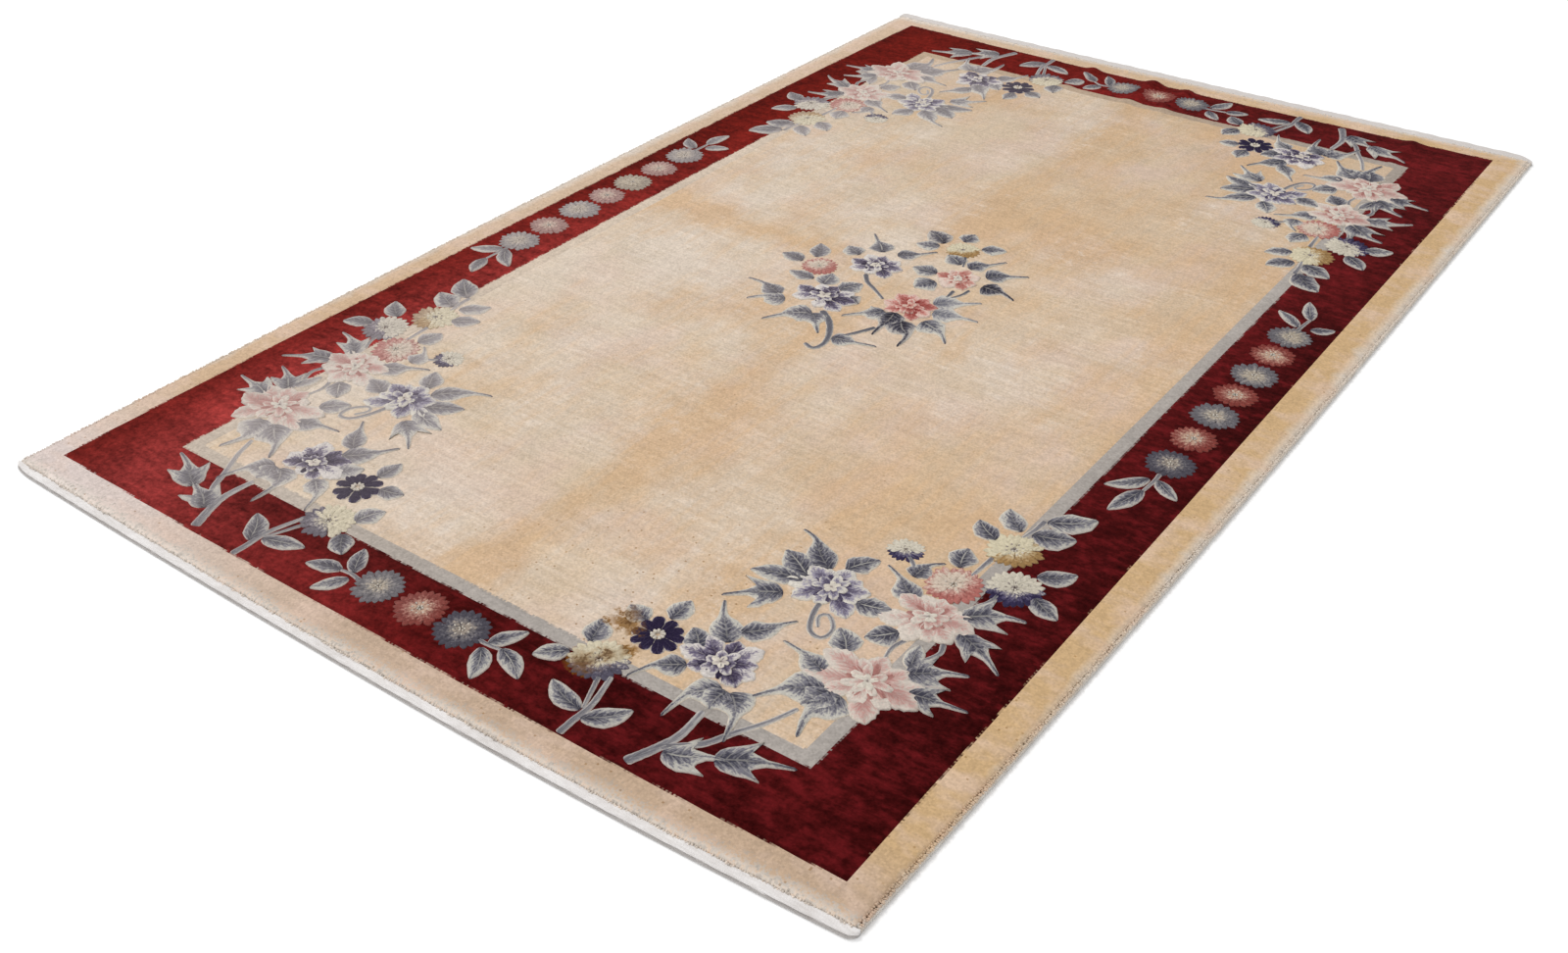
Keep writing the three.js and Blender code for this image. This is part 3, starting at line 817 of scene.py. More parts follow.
CENTRE_LEAVES = (
    (SLATE, 26, 274, 28, 322, 32), (SLATE, 75, 262, 127, 288, 34), (DARK_SLATE, -6, 240, -66, 278, 42),
    (SLATE, -8, 226, -58, 203, 34), (SLATE, 75, 168, 28, 194, 34),
    (SLATE, 100, 164, 128, 205, 36, 153, 242), (SLATE, 150, 148, 192, 184, 40, 226, 207),
    (DARK_SLATE, 163, 104, 216, 104, 40, 250, 89), (SLATE, 56, 104, -3, 96, 38),
    (SLATE, 75, 67, 50, 16, 40), (SLATE, -94, 120, -130, 160, 38, -160, 192),
    (SLATE, -59, 126, -20, 160, 34, 6, 194), (SLATE, -128, 79, -172, 101, 34),
    (SLATE, -198, 12, -228, 76, 32), (SLATE, -212, -21, -270, -17, 30), (SLATE, -144, -77, -210, -77, 26),
    (SLATE, -112, -90, -124, -32, 36), (SLATE, -72, -90, -44, -36, 38),
    (DARK_SLATE, -46, -104, -4, -118, 36), (PALE_SLATE, 122, -26, 172, 14, 46, 203, 40),
    (PALE_SLATE, 138, -60, 200, -42, 44, 237, -38), (SLATE, 140, -104, 200, -127, 46, 227, -158),
    (SLATE, 58, -112, 22, -150, 42, -7, -184), (DARK_SLATE, 76, -104, 84, -172, 42, 88, -214),
    (DARK_SLATE, 104, -128, 148, -176, 46, 154, -226), (SLATE, -162, -180, -219, -158, 34, -262, -158),
    (SLATE, -140, -190, -186, -208, 42, -210, -238), (SLATE, -58, -210, -106, -250, 48, -132, -294),
    (SLATE, -60, -210, -28, -244, 46, -2, -275), (SLATE, 30, -276, 78, -262, 40, 125, -249),
)
CENTRE_STEMS = (
    (13, (-50, -188), (-19, -211), (6, -243), (25, -280), (31, -311), (22, -331), (-2, -323)),
    (9, (78, -184), (59, -224), (32, -274)), (9, (-66, 7), (-44, -21), (-12, -42), (24, -68)),
    (6, (66, 207), (75, 189), (84, 165)), (7, (125, 52), (128, 20), (122, -8)),
    (6, (151, 74), (147, 45), (130, 6)),
)
# Each quarter of the rug repeats one spray, flipped across, flipped along, or both.
QUADRANTS = ((1, False), (-1, False), (1, True), (-1, True))
MIRROR = -20.0
DRAWING_OFF = (3.5, 6.5)


def designed(at_x, at_y, flip_x=1, far=False):
    """A place in the drawing, in millimetres, as a place on the rug, in metres."""
    across = at_x * flip_x
    up = MIRROR - at_y if far else at_y
    return ((across - DRAWING_OFF[0]) / 1000.0, (up - DRAWING_OFF[1]) / 1000.0)


leaf_yarn = carved_yarn("leaf_yarn", 1.1, 1.5, 0.85, 0.85, 0.55, 0.28)
leaves = Carving()


def add_stem(width, points, dyes, lift, flip_x=1, far=False):
    points = [designed(*point, flip_x, far) for point in points]
    leaves.form(points, STEM, width / 2000.0, dyes, bevel=STEM_BEVEL, lift=lift)


def add_leaf(table, outline, dyes, flip_x=1, far=False):
    base_x, base_y, tip_x, tip_y, width, *tail = table
    base = designed(base_x, base_y, flip_x, far)
    tip = designed(tip_x, tip_y, flip_x, far)
    sway = leaves.random.uniform(-0.08, 0.08)
    middle_x = (base[0] + tip[0]) / 2 + (tip[1] - base[1]) * sway
    middle_y = (base[1] + tip[1]) / 2 - (tip[0] - base[0]) * sway
    points = [base, (middle_x, middle_y), tip]
    if tail:
        points.append(designed(*tail, flip_x, far))
        outline = TAILED if outline is LEAF else outline
    on_red = in_red(*base) > 0.0 > in_guard(*base, 0.0)
    fuller = (1.05, 1.15) if on_red else (1.35, 1.5)
    half = width / 2000.0 * leaves.random.uniform(*fuller)
    leaves.form(points, outline, half, dyes, body=2, lift=leaves.random.uniform(0.0, 0.0005),
                reach=leaves.random.uniform(0.75, 1.25), ragged=0.06 if on_red else 0.11)


for flip_x, far in QUADRANTS:
    for width, *points in STEMS:
        add_stem(width, points, SILVER, -0.0004, flip_x, far)
    for table in LEAVES:
        add_leaf(table, LEAF, SLATE, flip_x, far)
    for table in BARBED_LEAVES:
        add_leaf(table, BARBED, SLATE, flip_x, far)
for width, *points in END_STEMS:
    add_stem(width, points, SILVER, -0.0004)
for width, *points in CENTRE_STEMS:
    add_stem(width, points, STEM_SLATE, 0.0)
for table in END_LEAVES:
    add_leaf(table, LEAF, SLATE)
for dyes, *table in CENTRE_LEAVES:
    add_leaf(table, LEAF, dyes)
leaf_mesh = leaves.mesh("carved_leaves")
lay_on_pile(leaf_mesh)
carved_leaves = new_piece("carved_leaves", leaf_mesh, leaf_yarn)
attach(carved_leaves, "root")


# Peonies and daisies
# The large flowers of the corner sprays and the middle, in cream silk with a violet or a pink
# flame at the heart of each petal. They are carved like the leaves, with the heart standing higher.
PETAL = ((0.0, 0.0), (0.05, 0.30), (0.16, 0.44), (0.32, 0.66), (0.48, 0.88), (0.60, 1.0),
         (0.69, 0.97, 0.10), (0.75, 0.80), (0.82, 0.66, 0.10), (0.88, 0.42), (0.95, 0.18), (1.0, 0.0))
SLIM_PETAL = ((0.0, 0.0), (0.06, 0.40), (0.2, 0.62), (0.42, 0.86), (0.62, 1.0), (0.8, 0.92),
              (0.92, 0.60), (1.0, 0.0))
BLUNT_PETAL = ((0.0, 0.0), (0.06, 0.52), (0.2, 0.82), (0.4, 1.0), (0.62, 0.98), (0.8, 0.80),
               (0.93, 0.48), (1.0, 0.0))
VIOLET = (dye(80, 73, 94), dye(140, 134, 150), dye(204, 198, 188))
PINK = (dye(168, 124, 118), dye(187, 156, 148), dye(204, 193, 182))
SOFT_ROSE = (dye(160, 98, 90), dye(190, 142, 130), dye(210, 190, 178))
ROSE = (dye(144, 72, 66), dye(188, 128, 120), dye(212, 184, 172))
DEEP_VIOLET = (dye(58, 50, 70), dye(112, 104, 124), dye(204, 197, 192))
DARK_VIOLET = (dye(38, 31, 54), dye(54, 47, 74), dye(120, 112, 130))
CREAM_PETAL = (dye(166, 154, 152), dye(196, 186, 176), dye(207, 199, 186))
ROSE_HEART = (dye(150, 78, 72), dye(196, 136, 124), dye(206, 178, 164))
# How far the dark dye reaches along a petal, and by how much more or less on every other petal.
SPREAD = {VIOLET: (0.78, 0.12), DEEP_VIOLET: (0.80, 0.20), PINK: (0.67, 0.12),
          SOFT_ROSE: (0.80, 0.22), ROSE: (1.0, 0.15)}
THROATS = {VIOLET: (dye(64, 57, 78), dye(84, 77, 98), dye(130, 123, 138)),
           DEEP_VIOLET: (dye(38, 32, 50), dye(56, 49, 70), dye(106, 98, 114)),
           PINK: (dye(152, 104, 98), dye(172, 126, 118), dye(190, 156, 146)),
           SOFT_ROSE: (dye(138, 70, 64), dye(162, 92, 84), dye(188, 130, 120)),
           ROSE: (dye(120, 46, 44), dye(148, 66, 60), dye(178, 106, 98))}
# Each peony has its place in the drawing, its dyes, and the turn in degrees and the length in
# millimetres of each outer petal.
PEONIES = (
    (654, -1122, PINK, ((95, 70), (130, 58), (165, 101), (200, 103), (230, 70), (-90, 54), (-60, 93),
                        (-28, 66), (-5, 93), (28, 89), (58, 71))),
    (649, -935, PINK, ((95, 58), (128, 60), (160, 74), (208, 84), (238, 56), (-92, 74), (-60, 60),
                       (-30, 70), (5, 78), (35, 70), (64, 56))),
    (485, -963, VIOLET, ((90, 64), (125, 52), (155, 68), (198, 82), (235, 70), (-92, 48), (-40, 80),
                         (-12, 56), (22, 66), (56, 56))),
    (453, -1217, DEEP_VIOLET, ((98, 60), (60, 74), (28, 58), (0, 64), (142, 70), (185, 76), (222, 54),
                               (-90, 42), (-32, 60))),
)
CENTRE_PEONIES = (
    (-69, 53, DEEP_VIOLET, ((98, 54), (56, 60), (14, 62), (140, 60), (182, 62), (-90, 44), (-40, 62),
                            (222, 60))),
    (-81, -132, DEEP_VIOLET, ((88, 54), (48, 68), (8, 74), (130, 58), (172, 74), (-80, 54), (-30, 74),
                              (212, 70))),
    (106, 104, SOFT_ROSE, ((92, 54), (48, 52), (0, 46), (138, 46), (182, 52), (-98, 52), (-48, 50),
                           (230, 44))),
    (88, -66, ROSE, ((72, 56), (108, 58), (146, 62), (186, 60), (30, 60), (-14, 58), (-56, 58),
                     (228, 56))),
)
THROAT_PETALS = 9
INNER_PETALS = 7
HEART_PETALS = 5
DAISY = (335, -1222)
DAISY_PETALS = 10
DAISY_BEADS = 9
ROUND = 2.0 * math.pi
petal_yarn = carved_yarn("petal_yarn", 2.2, 1.2, 0.3, 0.7, 0.22, 0.22)
peonies = Carving()
random = peonies.random


def faced(degrees, flip_x, far):
    """A turn in the drawing as a turn on the rug, mirrored as its quarter is."""
    turn = math.radians(degrees)
    return math.atan2(math.sin(turn) * (-1 if far else 1), math.cos(turn) * flip_x)


def petal(centre, angle, start, length, width, dyes, lift, reach, outline=PETAL, bevel=BEVEL):
    way = np.array((math.cos(angle), math.sin(angle)))
    side = np.array((-way[1], way[0])) * random.uniform(-0.08, 0.08)
    middle = centre + way * (start + length) / 2 + side * length
    points = [centre + way * start, middle, centre + way * length]
    peonies.form(points, outline, width / 2.0, dyes, lift=lift, reach=reach, bevel=bevel)


def peony(at_x, at_y, dyes, petals, flip_x=1, far=False):
    centre = np.array(designed(at_x, at_y, flip_x, far))
    mean = sum(length for _, length in petals) / len(petals) / 1000.0
    heart = ROSE_HEART if dyes is ROSE else CREAM_PETAL
    usual, other = SPREAD[dyes]
    for number, (degrees, length) in enumerate(petals):
        width = 0.0145 + length * 0.00031
        reach = usual + other * (-1) ** number + random.uniform(-0.18, 0.18)
        petal(centre, faced(degrees, flip_x, far), 0.006, length / 1000.0, width, dyes,
              0.0005 * (number % 3), reach)
    turn = random.uniform(0.0, 6.28)
    for k in range(THROAT_PETALS):
        angle = turn + k * ROUND / THROAT_PETALS + random.uniform(-0.15, 0.15)
        petal(centre, angle, 0.002, mean * random.uniform(0.46, 0.62), 0.012, THROATS[dyes], 0.0011, 1.2,
              SLIM_PETAL, bevel=0.0008)
    for k in range(INNER_PETALS):
        angle = turn + 0.3 + k * ROUND / INNER_PETALS + random.uniform(-0.2, 0.2)
        reach = usual + random.uniform(-0.3, 0.3)
        petal(centre, angle, 0.003, mean * random.uniform(0.38, 0.58), 0.0175, dyes,
              0.0016 + 0.0004 * (k % 3), reach, BLUNT_PETAL, bevel=0.0014)
    for k in range(HEART_PETALS):
        angle = turn + 0.4 + k * ROUND / HEART_PETALS + random.uniform(-0.3, 0.3)
        petal(centre, angle, 0.001, mean * random.uniform(0.18, 0.30), 0.0115, heart, 0.0027,
              random.uniform(0.0, 0.7), BLUNT_PETAL, bevel=0.0010)


def daisy(at_x, at_y, flip_x, far):
    centre = np.array(designed(at_x, at_y, flip_x, far))
    for k in range(DAISY_PETALS):
        angle = 0.3 + k * ROUND / DAISY_PETALS
        petal(centre, angle, 0.010, random.uniform(0.042, 0.048), 0.019, DARK_VIOLET, 0.0, 1.35, SLIM_PETAL)
    for k in range(DAISY_BEADS):
        petal(centre, k * ROUND / DAISY_BEADS, 0.004, 0.013, 0.005, CREAM_PETAL, 0.0012, 0.2, SLIM_PETAL,
              bevel=0.001)


for flip_x, far in QUADRANTS:
    for flower in PEONIES:
        peony(*flower, flip_x, far)
    daisy(*DAISY, flip_x, far)
for flower in CENTRE_PEONIES:
    peony(*flower)
peony_mesh = peonies.mesh("carved_peonies")
lay_on_pile(peony_mesh)
carved_peonies = new_piece("carved_peonies", peony_mesh, petal_yarn)
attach(carved_peonies, "root")


# Asters
# Round flowers of three rings of narrow rays about a beaded heart, all alike but for size and dye.
# They run in a row down each side border and across each end, and fill in the corner sprays.
# A ray has fewer points across it than a leaf, because there are so many rays.
SLIM_CROSS = ((-1.0, 1.0, -0.0026), (-1.0, 0.0, 0.0010), (-0.5, 0.0, 0.0020), (0.0, 0.0, 0.0023),
              (0.5, 0.0, 0.0020), (1.0, 0.0, 0.0010), (1.0, 1.0, -0.0026))
RAY = ((0.0, 0.0), (0.08, 0.55), (0.35, 0.74), (0.62, 1.0), (0.80, 0.70), (0.92, 0.28), (1.0, 0.0))
AT_HEART = (dye(150, 140, 134), dye(192, 182, 170), dye(204, 196, 184))
GREY = (dye(172, 160, 144), dye(136, 131, 130), dye(104, 101, 106))
DEEP_GREY = (dye(158, 146, 134), dye(112, 108, 112), dye(78, 75, 84))
DUSTY_PINK = (dye(190, 160, 140), dye(158, 106, 96), dye(128, 62, 56))
FIELD_PINK = (dye(200, 184, 168), dye(184, 138, 128), dye(166, 102, 95))
GOLD = (dye(202, 192, 166), dye(176, 150, 112), dye(154, 122, 80))
GREY_VIOLET = (dye(202, 192, 168), dye(128, 122, 130), dye(84, 80, 94))
BUD_VIOLET = (dye(200, 192, 176), dye(98, 92, 116), dye(52, 46, 74))
OLIVE = (dye(178, 164, 136), dye(150, 136, 110), dye(128, 116, 92))
# Each aster has its place in the drawing, its radius in millimetres, its dyes, how much of it
# keeps the pale dye of the heart, and which way its darker side faces, in degrees.
SPRAY_ASTERS = (
    (637, -838, 50, FIELD_PINK, 0.5, -30), (720, -787, 50, BUD_VIOLET, 1.0, -60),
    (670, -695, 50, GOLD, 1.0, -40), (300, -1322, 50, GREY_VIOLET, 1.0, -55),
    (526, -802, 33, BUD_VIOLET, 1.25, -65),
)
OTHER_ASTERS = (
    (768, 287, 45, GREY, 0.3, 200), (768, 195, 45, DUSTY_PINK, 0.2, 90), (768, 97, 48, GREY, 0.2, 90),
    (768, 3, 44, DUSTY_PINK, 0.0, 0), (768, -92, 48, GREY, 0.0, 0), (768, -191, 45, DUSTY_PINK, 0.2, 0),
    (768, -294, 47, DEEP_GREY, 0.0, 0), (-775, 285, 48, GREY, 0.2, 0), (-775, 182, 46, DUSTY_PINK, 0.2, 0),
    (-775, 80, 48, OLIVE, 0.2, 0), (-775, -15, 45, DUSTY_PINK, 0.2, 0), (-775, -115, 50, GREY, 0.2, 0),
    (-775, -222, 46, DUSTY_PINK, 0.1, 0), (-775, -322, 48, GREY, 0.2, 0), (-99, -1397, 45, GREY, 0.0, 0),
    (-5, -1397, 46, DUSTY_PINK, 0.0, 0), (84, -1395, 48, DEEP_GREY, 0.0, 0), (-103, 1373, 45, GREY, 0.2, 0),
    (0, 1373, 46, DUSTY_PINK, 0.1, 0), (94, 1373, 46, GREY, 0.2, 0), (44, 236, 40, GOLD, 1.0, -50),
    (-168, -20, 41, FIELD_PINK, 0.42, -35),
)
# Each ring of parts has how far out its parts start and end where the flower's radius is one, their
# width, their lift, how many go round, how pale they are, and their own dyes if they have any.
ASTER_RINGS = {
    "Outer ray": (0.46, 1.0, 0.128, 0.0, 21, 0.45, None),
    "Middle ray": (0.28, 0.78, 0.116, 0.0005, 16, 0.95, None),
    "Inner ray": (0.10, 0.54, 0.112, 0.0010, 9, 1.5, None),
    "Heart bead": (0.04, 0.14, 0.040, 0.0016, 5, 0.0, AT_HEART),
    "Rim bead": (0.24, 0.34, 0.036, 0.0014, 8, 0.0, AT_HEART),
}
USUAL_RADIUS = 0.045
aster_yarn = carved_yarn("aster_yarn", 1.4, 0.5, 0.0, 0.15, 0.30, 0.50)


def aster_part(name, start, reach, width, lift, own_dyes):
    """One ray or bead on its own. With no dyes of its own it takes those of its flower."""
    part = Carving()
    points = [(start, 0.0), ((start + reach) / 2, 0.0), (reach, 0.0)]
    part.form(points, RAY, width, own_dyes or GREY, lift=lift / USUAL_RADIUS, bevel=0.012,
              tall=0.6 / USUAL_RADIUS, ragged=0.0, cross=SLIM_CROSS)
    mesh = part.mesh(name)
    for label in ("reach",) if own_dyes else ("core", "mid", "rim", "reach"):
        mesh.attributes.remove(mesh.attributes[label])
    made = bpy.data.objects.new(name, mesh)
    bpy.context.collection.objects.link(made)
    return made


def start_tree(name, entries):
    """A node tree that takes geometry, the entries given by name and kind, and a yarn."""
    tree = bpy.data.node_groups.new(name, "GeometryNodeTree")
    for label, kind in [("Geometry", "Geometry"), *entries, ("Yarn", "Material")]:
        tree.interface.new_socket(label, in_out="INPUT", socket_type="NodeSocket" + kind)
    tree.interface.new_socket("Geometry", in_out="OUTPUT", socket_type="NodeSocketGeometry")
    t = Thread(tree)
    given = t.node("NodeGroupInput").socket.node
    return t, {socket.name: Thread(tree, socket) for socket in given.outputs if socket.name}


def end_tree(parts, yarn):
    """Joins the parts, turns what is instanced into plain mesh, and gives it its yarn."""
    t = Thread(yarn.tree)
    joined = t.node("GeometryNodeJoinGeometry")
    for part in parts:
        t.tree.links.new(part.socket, joined.socket.node.inputs[0])
    realized = t.node("GeometryNodeRealizeInstances", None, {"Geometry": joined})
    dressed = t.node("GeometryNodeSetMaterial", None, {"Geometry": realized, "Material": yarn})
    t.node("NodeGroupOutput", None, {0: dressed})
    return t.tree


def chance(t, low, high, seed):
    """A number between low and high that differs from point to point."""
    inputs = {2: low, 3: high, "Seed": seed}
    return t.node("FunctionNodeRandomValue", {"data_type": "FLOAT"}, inputs, out=1)


def kept_on_points(t, label, kind="FLOAT"):
    return t.node("GeometryNodeInputNamedAttribute", {"data_type": kind}, {"Name": label})


def aster_tree():
    """Instances each part round every flower, its rays facing out, and dyes those on the darker side."""
    entries = []
    for label in ASTER_RINGS:
        entries += [(label, "Object"), (f"{label} count", "Int"), (f"{label} paleness", "Float")]
    t, given = start_tree("rays_round_a_flower", [*entries, ("Unevenness", "Float")])
    rings = []
    for number, label in enumerate(ASTER_RINGS):
        count = given[f"{label} count"]
        copies = t.node("GeometryNodeDuplicateElements", {"domain": "POINT"},
                        {"Geometry": given["Geometry"], "Amount": count})
        jitter = chance(t, -1.0, 1.0, 11 + number)
        angle = copies.output("Duplicate Index") * (2.0 * math.pi) / count + kept_on_points(t, "spin")
        angle = angle + jitter * given["Unevenness"] * 0.7
        inputs = {"Object": given[label]}
        part = t.node("GeometryNodeObjectInfo", {"transform_space": "ORIGINAL"}, inputs, out=4)
        placed = t.node("GeometryNodeInstanceOnPoints", None, {
            "Points": copies,
            "Instance": part,
            "Rotation": t.vector(0.0, 0.0, angle),
            "Scale": kept_on_points(t, "size") * (1.0 + jitter * given["Unevenness"]),
        })
        lean = (angle - kept_on_points(t, "dark_way")).cosine()
        paler_share = kept_on_points(t, "pale") * (0.2 - lean + jitter * 0.2).past(0.1, 0.9) * 2.0
        settings = {"data_type": "FLOAT", "domain": "INSTANCE"}
        inputs = {"Geometry": placed, "Name": "reach", "Value": given[f"{label} paleness"] + paler_share}
        rings.append(t.node("GeometryNodeStoreNamedAttribute", settings, inputs))
    return end_tree(rings, given["Yarn"])


def grown(name, seed_mesh, tree, sizes, yarn):
    """The plain mesh that a node tree makes of seed_mesh, as a piece of its own."""
    seed = bpy.data.objects.new(name + "_seed", seed_mesh)
    bpy.context.collection.objects.link(seed)
    modifier = seed.modifiers.new("grow", "NODES")
    modifier.node_group = tree
    given = {**sizes, "Yarn": yarn}
    for item in tree.interface.items_tree:
        if item.in_out == "INPUT" and item.name in given:
            modifier[item.identifier] = given[item.name]
    bpy.context.view_layer.update()
    evaluated = seed.evaluated_get(bpy.context.evaluated_depsgraph_get())
    mesh = bpy.data.meshes.new_from_object(evaluated)
    mesh.name = name
    seed.modifiers.clear()
    bpy.data.objects.remove(seed)
    piece = new_piece(name, mesh, yarn)
    mesh.shade_smooth()
    return piece


flowers = []
for flip_x, far in QUADRANTS:
    for at_x, at_y, size, dyes, pale, degrees in SPRAY_ASTERS:
        turn = faced(degrees, flip_x, far)
        flowers.append((designed(at_x, at_y, flip_x, far), size / 1000.0, dyes, pale, turn))
for at_x, at_y, size, dyes, pale, degrees in OTHER_ASTERS:
    flowers.append((designed(at_x, at_y), size / 1000.0, dyes, pale, math.radians(degrees)))
seeds = new_mesh("aster_places", [(*place, 0.0) for place, *_ in flowers], [])
keep_on_points(seeds, "size", [flower[1] for flower in flowers])
keep_on_points(seeds, "pale", [flower[3] for flower in flowers])
keep_on_points(seeds, "dark_way", [flower[4] for flower in flowers])
keep_on_points(seeds, "spin", [0.37 * k for k in range(len(flowers))])
for number, label in enumerate(("core", "mid", "rim")):
    keep_on_points(seeds, label, [flower[2][number] for flower in flowers])
sizes = {"Unevenness": 0.06}
for label, (start, reach, width, lift, count, paleness, own_dyes) in ASTER_RINGS.items():
    sizes[label] = aster_part(label, start, reach, width, lift, own_dyes)
    sizes[f"{label} count"] = count
    sizes[f"{label} paleness"] = paleness
carved_asters = grown("carved_asters", seeds, aster_tree(), sizes, aster_yarn)
lay_on_pile(carved_asters.data)
for label in ASTER_RINGS:
    bpy.data.objects.remove(sizes[label])
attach(carved_asters, "root")


# End bands
# White cotton cloth woven on at each end of the pile. It shows as a low roll over a thin lip,
# and the rest is turned under and lies flat against the back of the rug.
BAND_HEIGHT = 0.009
BAND_STEP = 0.010
BAND_NOSE = 0.012
LIP_TOP = 0.0022
# Each point of the band's front is given by how far it lies behind the nose, and its height.
BAND_PROFILE = ((0.0010, 0.0), (0.0001, 0.0006), (0.0, 0.0014), (0.0012, LIP_TOP), (0.0044, 0.0026),
                (0.0036, 0.0036), (0.0024, 0.0050), (0.0026, 0.0066), (0.0040, 0.0080), (0.0064, 0.0089),
                (0.0086, 0.0091))
# How a corner is divided, closest together where it bends most.
CORNER_SHARES = (0.0, 0.03, 0.08, 0.16, 0.3, 0.45, 0.6, 0.8, 1.0)
COTTON = dye(242, 239, 238)
COTTON_DUST_AND_SHADE = dye(142, 136, 132)
COTTON_SHADE = dye(204, 198, 194)

band_cotton, shader = new_material("band_cotton", 0.9, 0.05)
t = Thread(band_cotton.node_tree)
place, x, y, z = t.on_object()
warps = (x * 2600.0).sine() * ((y + z) * 2300.0).sine()
slub = t.noise(t.vector(x * 60.0, (y + z) * 240.0), 1.0, 3.0)
dirt = t.noise(place, 9.0, 3.0)
clean = (dirt * 0.5 + slub * 0.4 - (y + 0.5).past(0.0, 1.0) * 0.3).past(0.46, 0.5)
# Dust and painted shade: the thin lip under the roll is darker grey.
lip = 1.0 - (z + (slub - 0.5) * 0.001).past(0.0030, 0.0008)
colour = (lip * 0.6).between(clean.between(COTTON_SHADE, COTTON), COTTON_DUST_AND_SHADE)
finish_material(shader, colour, warps * 0.5 + slub, 0.0008, 0.6)


def end_band(name, outward, edge, pile, left_corner, right_corner):
    """A band from side to side. Each corner is rounded over a width and a depth."""
    side = half_width(outward * HALF_LENGTH)
    lap_side = side - CORD - 2.0 * GAP
    steps = math.ceil(2.0 * side / BAND_STEP)
    stations = [side * (2.0 * k / steps - 1.0) for k in range(1, steps)]
    stations += [-lap_side, GAP - lap_side, lap_side - GAP, lap_side]
    for share in CORNER_SHARES:
        stations += [share * left_corner[0] - side, side - share * right_corner[0]]
    stations = sorted(set(round(at, 5) for at in stations))
    points = []
    for at in stations:
        left = max(0.0, 1.0 - (at + side) / left_corner[0])
        right = max(0.0, 1.0 - (side - at) / right_corner[0])
        back = left_corner[1] * (1.0 - math.sqrt(1.0 - left**2))
        back += right_corner[1] * (1.0 - math.sqrt(1.0 - right**2))
        pile_end = outward * float(pile(np.array(at)))
        nose = outward * float(edge(np.array(at))) - back
        start = pile_end + GAP
        depth = min(1.0, (nose - start) / BAND_NOSE)
        slack = 0.0005 * (math.sin(at * 61.0) + math.sin(at * 143.0 + 1.0))
        lap = BAND_LAP if abs(at) < lap_side else 0.0
        curve = [(nose - behind * depth, up + slack * (up > LIP_TOP)) for behind, up in BAND_PROFILE]
        top = [(start + (curve[-1][0] - start) * share, BAND_HEIGHT + slack) for share in (0.7, 0.35, 0.1)]
        profile = [(pile_end - lap, 0.0), *curve, *top, (start, BAND_HEIGHT - 0.001)]
        profile += [(start, BAND_CLOTH), (pile_end - lap, BAND_CLOTH)]
        points.append([(at, outward * out, up) for out, up in profile])
    count = len(points[0])
    way = int(outward)
    faces = []
    for s in range(len(points) - 1):
        for k in range(count):
            here, following = s * count + k, s * count + (k + 1) % count
            faces.append([here, following, following + count, here + count][::way])
    last = (len(points) - 1) * count
    faces.append(list(range(count))[::-way])
    faces.append(list(range(last, last + count))[::way])
    mesh = new_mesh(name, np.array(points).reshape(-1, 3), faces)
    mesh.validate()
    return new_piece(name, mesh, band_cotton)


near_band = end_band("near_cotton_band", -1.0, near_edge, near_pile, (0.060, 0.014), (0.016, 0.012))
far_band = end_band("far_cotton_band", 1.0, far_edge, far_pile, (0.012, 0.008), (0.058, 0.036))
for band, node in ((near_band, "near_end_band"), (far_band, "far_end_band")):
    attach(band, "root")
    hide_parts(node)


# Side cords
# A bundle of warps down each side, overcast with thick silk yarn turn beside turn. Each turn
# stands up as a small bead, which is what shows along the edge.
CORD_CORE = 0.0029
YARN = 0.0010
YARN_PITCH = 0.0042
CORE_SIDES = 10
YARN_SIDES = 4
CORD_POINTS = 60
UPRIGHT = 1.5708
SLANT = 0.3
CORD_CREAM = dye(224, 218, 210)
CORD_DUST = dye(202, 192, 181)

cord_yarn, shader = new_material("cord_yarn", 0.95, 0.03)
t = Thread(cord_yarn.node_tree)
place, _, y, _ = t.on_object()
dust = t.noise(t.vector(2.0, y * 30.0), 1.0, 3.0)
twist = t.noise(place, 900.0, 2.0)
colour = (dust * 0.7 + t.noise(place, 160.0, 2.0) * 0.3).past(0.5, 0.3).between(CORD_DUST, CORD_CREAM)
finish_material(shader, colour, twist, 0.0005, 0.5)


def swept(t, line, sides, radius, capped=False):
    """A round strand of the radius given along a line."""
    ring = t.node("GeometryNodeCurvePrimitiveCircle", None, {"Resolution": sides, "Radius": radius})
    inputs = {"Curve": line, "Profile Curve": ring, "Fill Caps": capped}
    return t.node("GeometryNodeCurveToMesh", None, inputs)


def wrap_tree():
    """A round core along the line given, with rings of yarn spaced along it."""
    labels = ("Core radius", "Yarn radius", "Pitch", "Unevenness")
    t, given = start_tree("yarn_round_a_cord", [(label, "Float") for label in labels])
    line = t.node("GeometryNodeMeshToCurve", None, {"Mesh": given["Geometry"]})
    core = swept(t, line, CORE_SIDES, given["Core radius"], capped=True)
    inputs = {"Resolution": CORE_SIDES, "Radius": given["Core radius"]}
    ring = t.node("GeometryNodeCurvePrimitiveCircle", None, inputs)
    turn = swept(t, ring, YARN_SIDES, given["Yarn radius"])
    inputs = {"Curve": line, "Length": given["Pitch"]}
    spots = t.node("GeometryNodeResampleCurve", {"mode": "LENGTH"}, inputs)
    jitter = chance(t, -1.0, 1.0, 5) * given["Unevenness"]
    tilt = t.vector(UPRIGHT + jitter * 3.0, 0.0, SLANT + jitter)
    inputs = {"Points": spots, "Instance": turn, "Rotation": tilt, "Scale": 1.0 + jitter}
    turns = t.node("GeometryNodeInstanceOnPoints", None, inputs)
    return end_tree([core, turns], given["Yarn"])


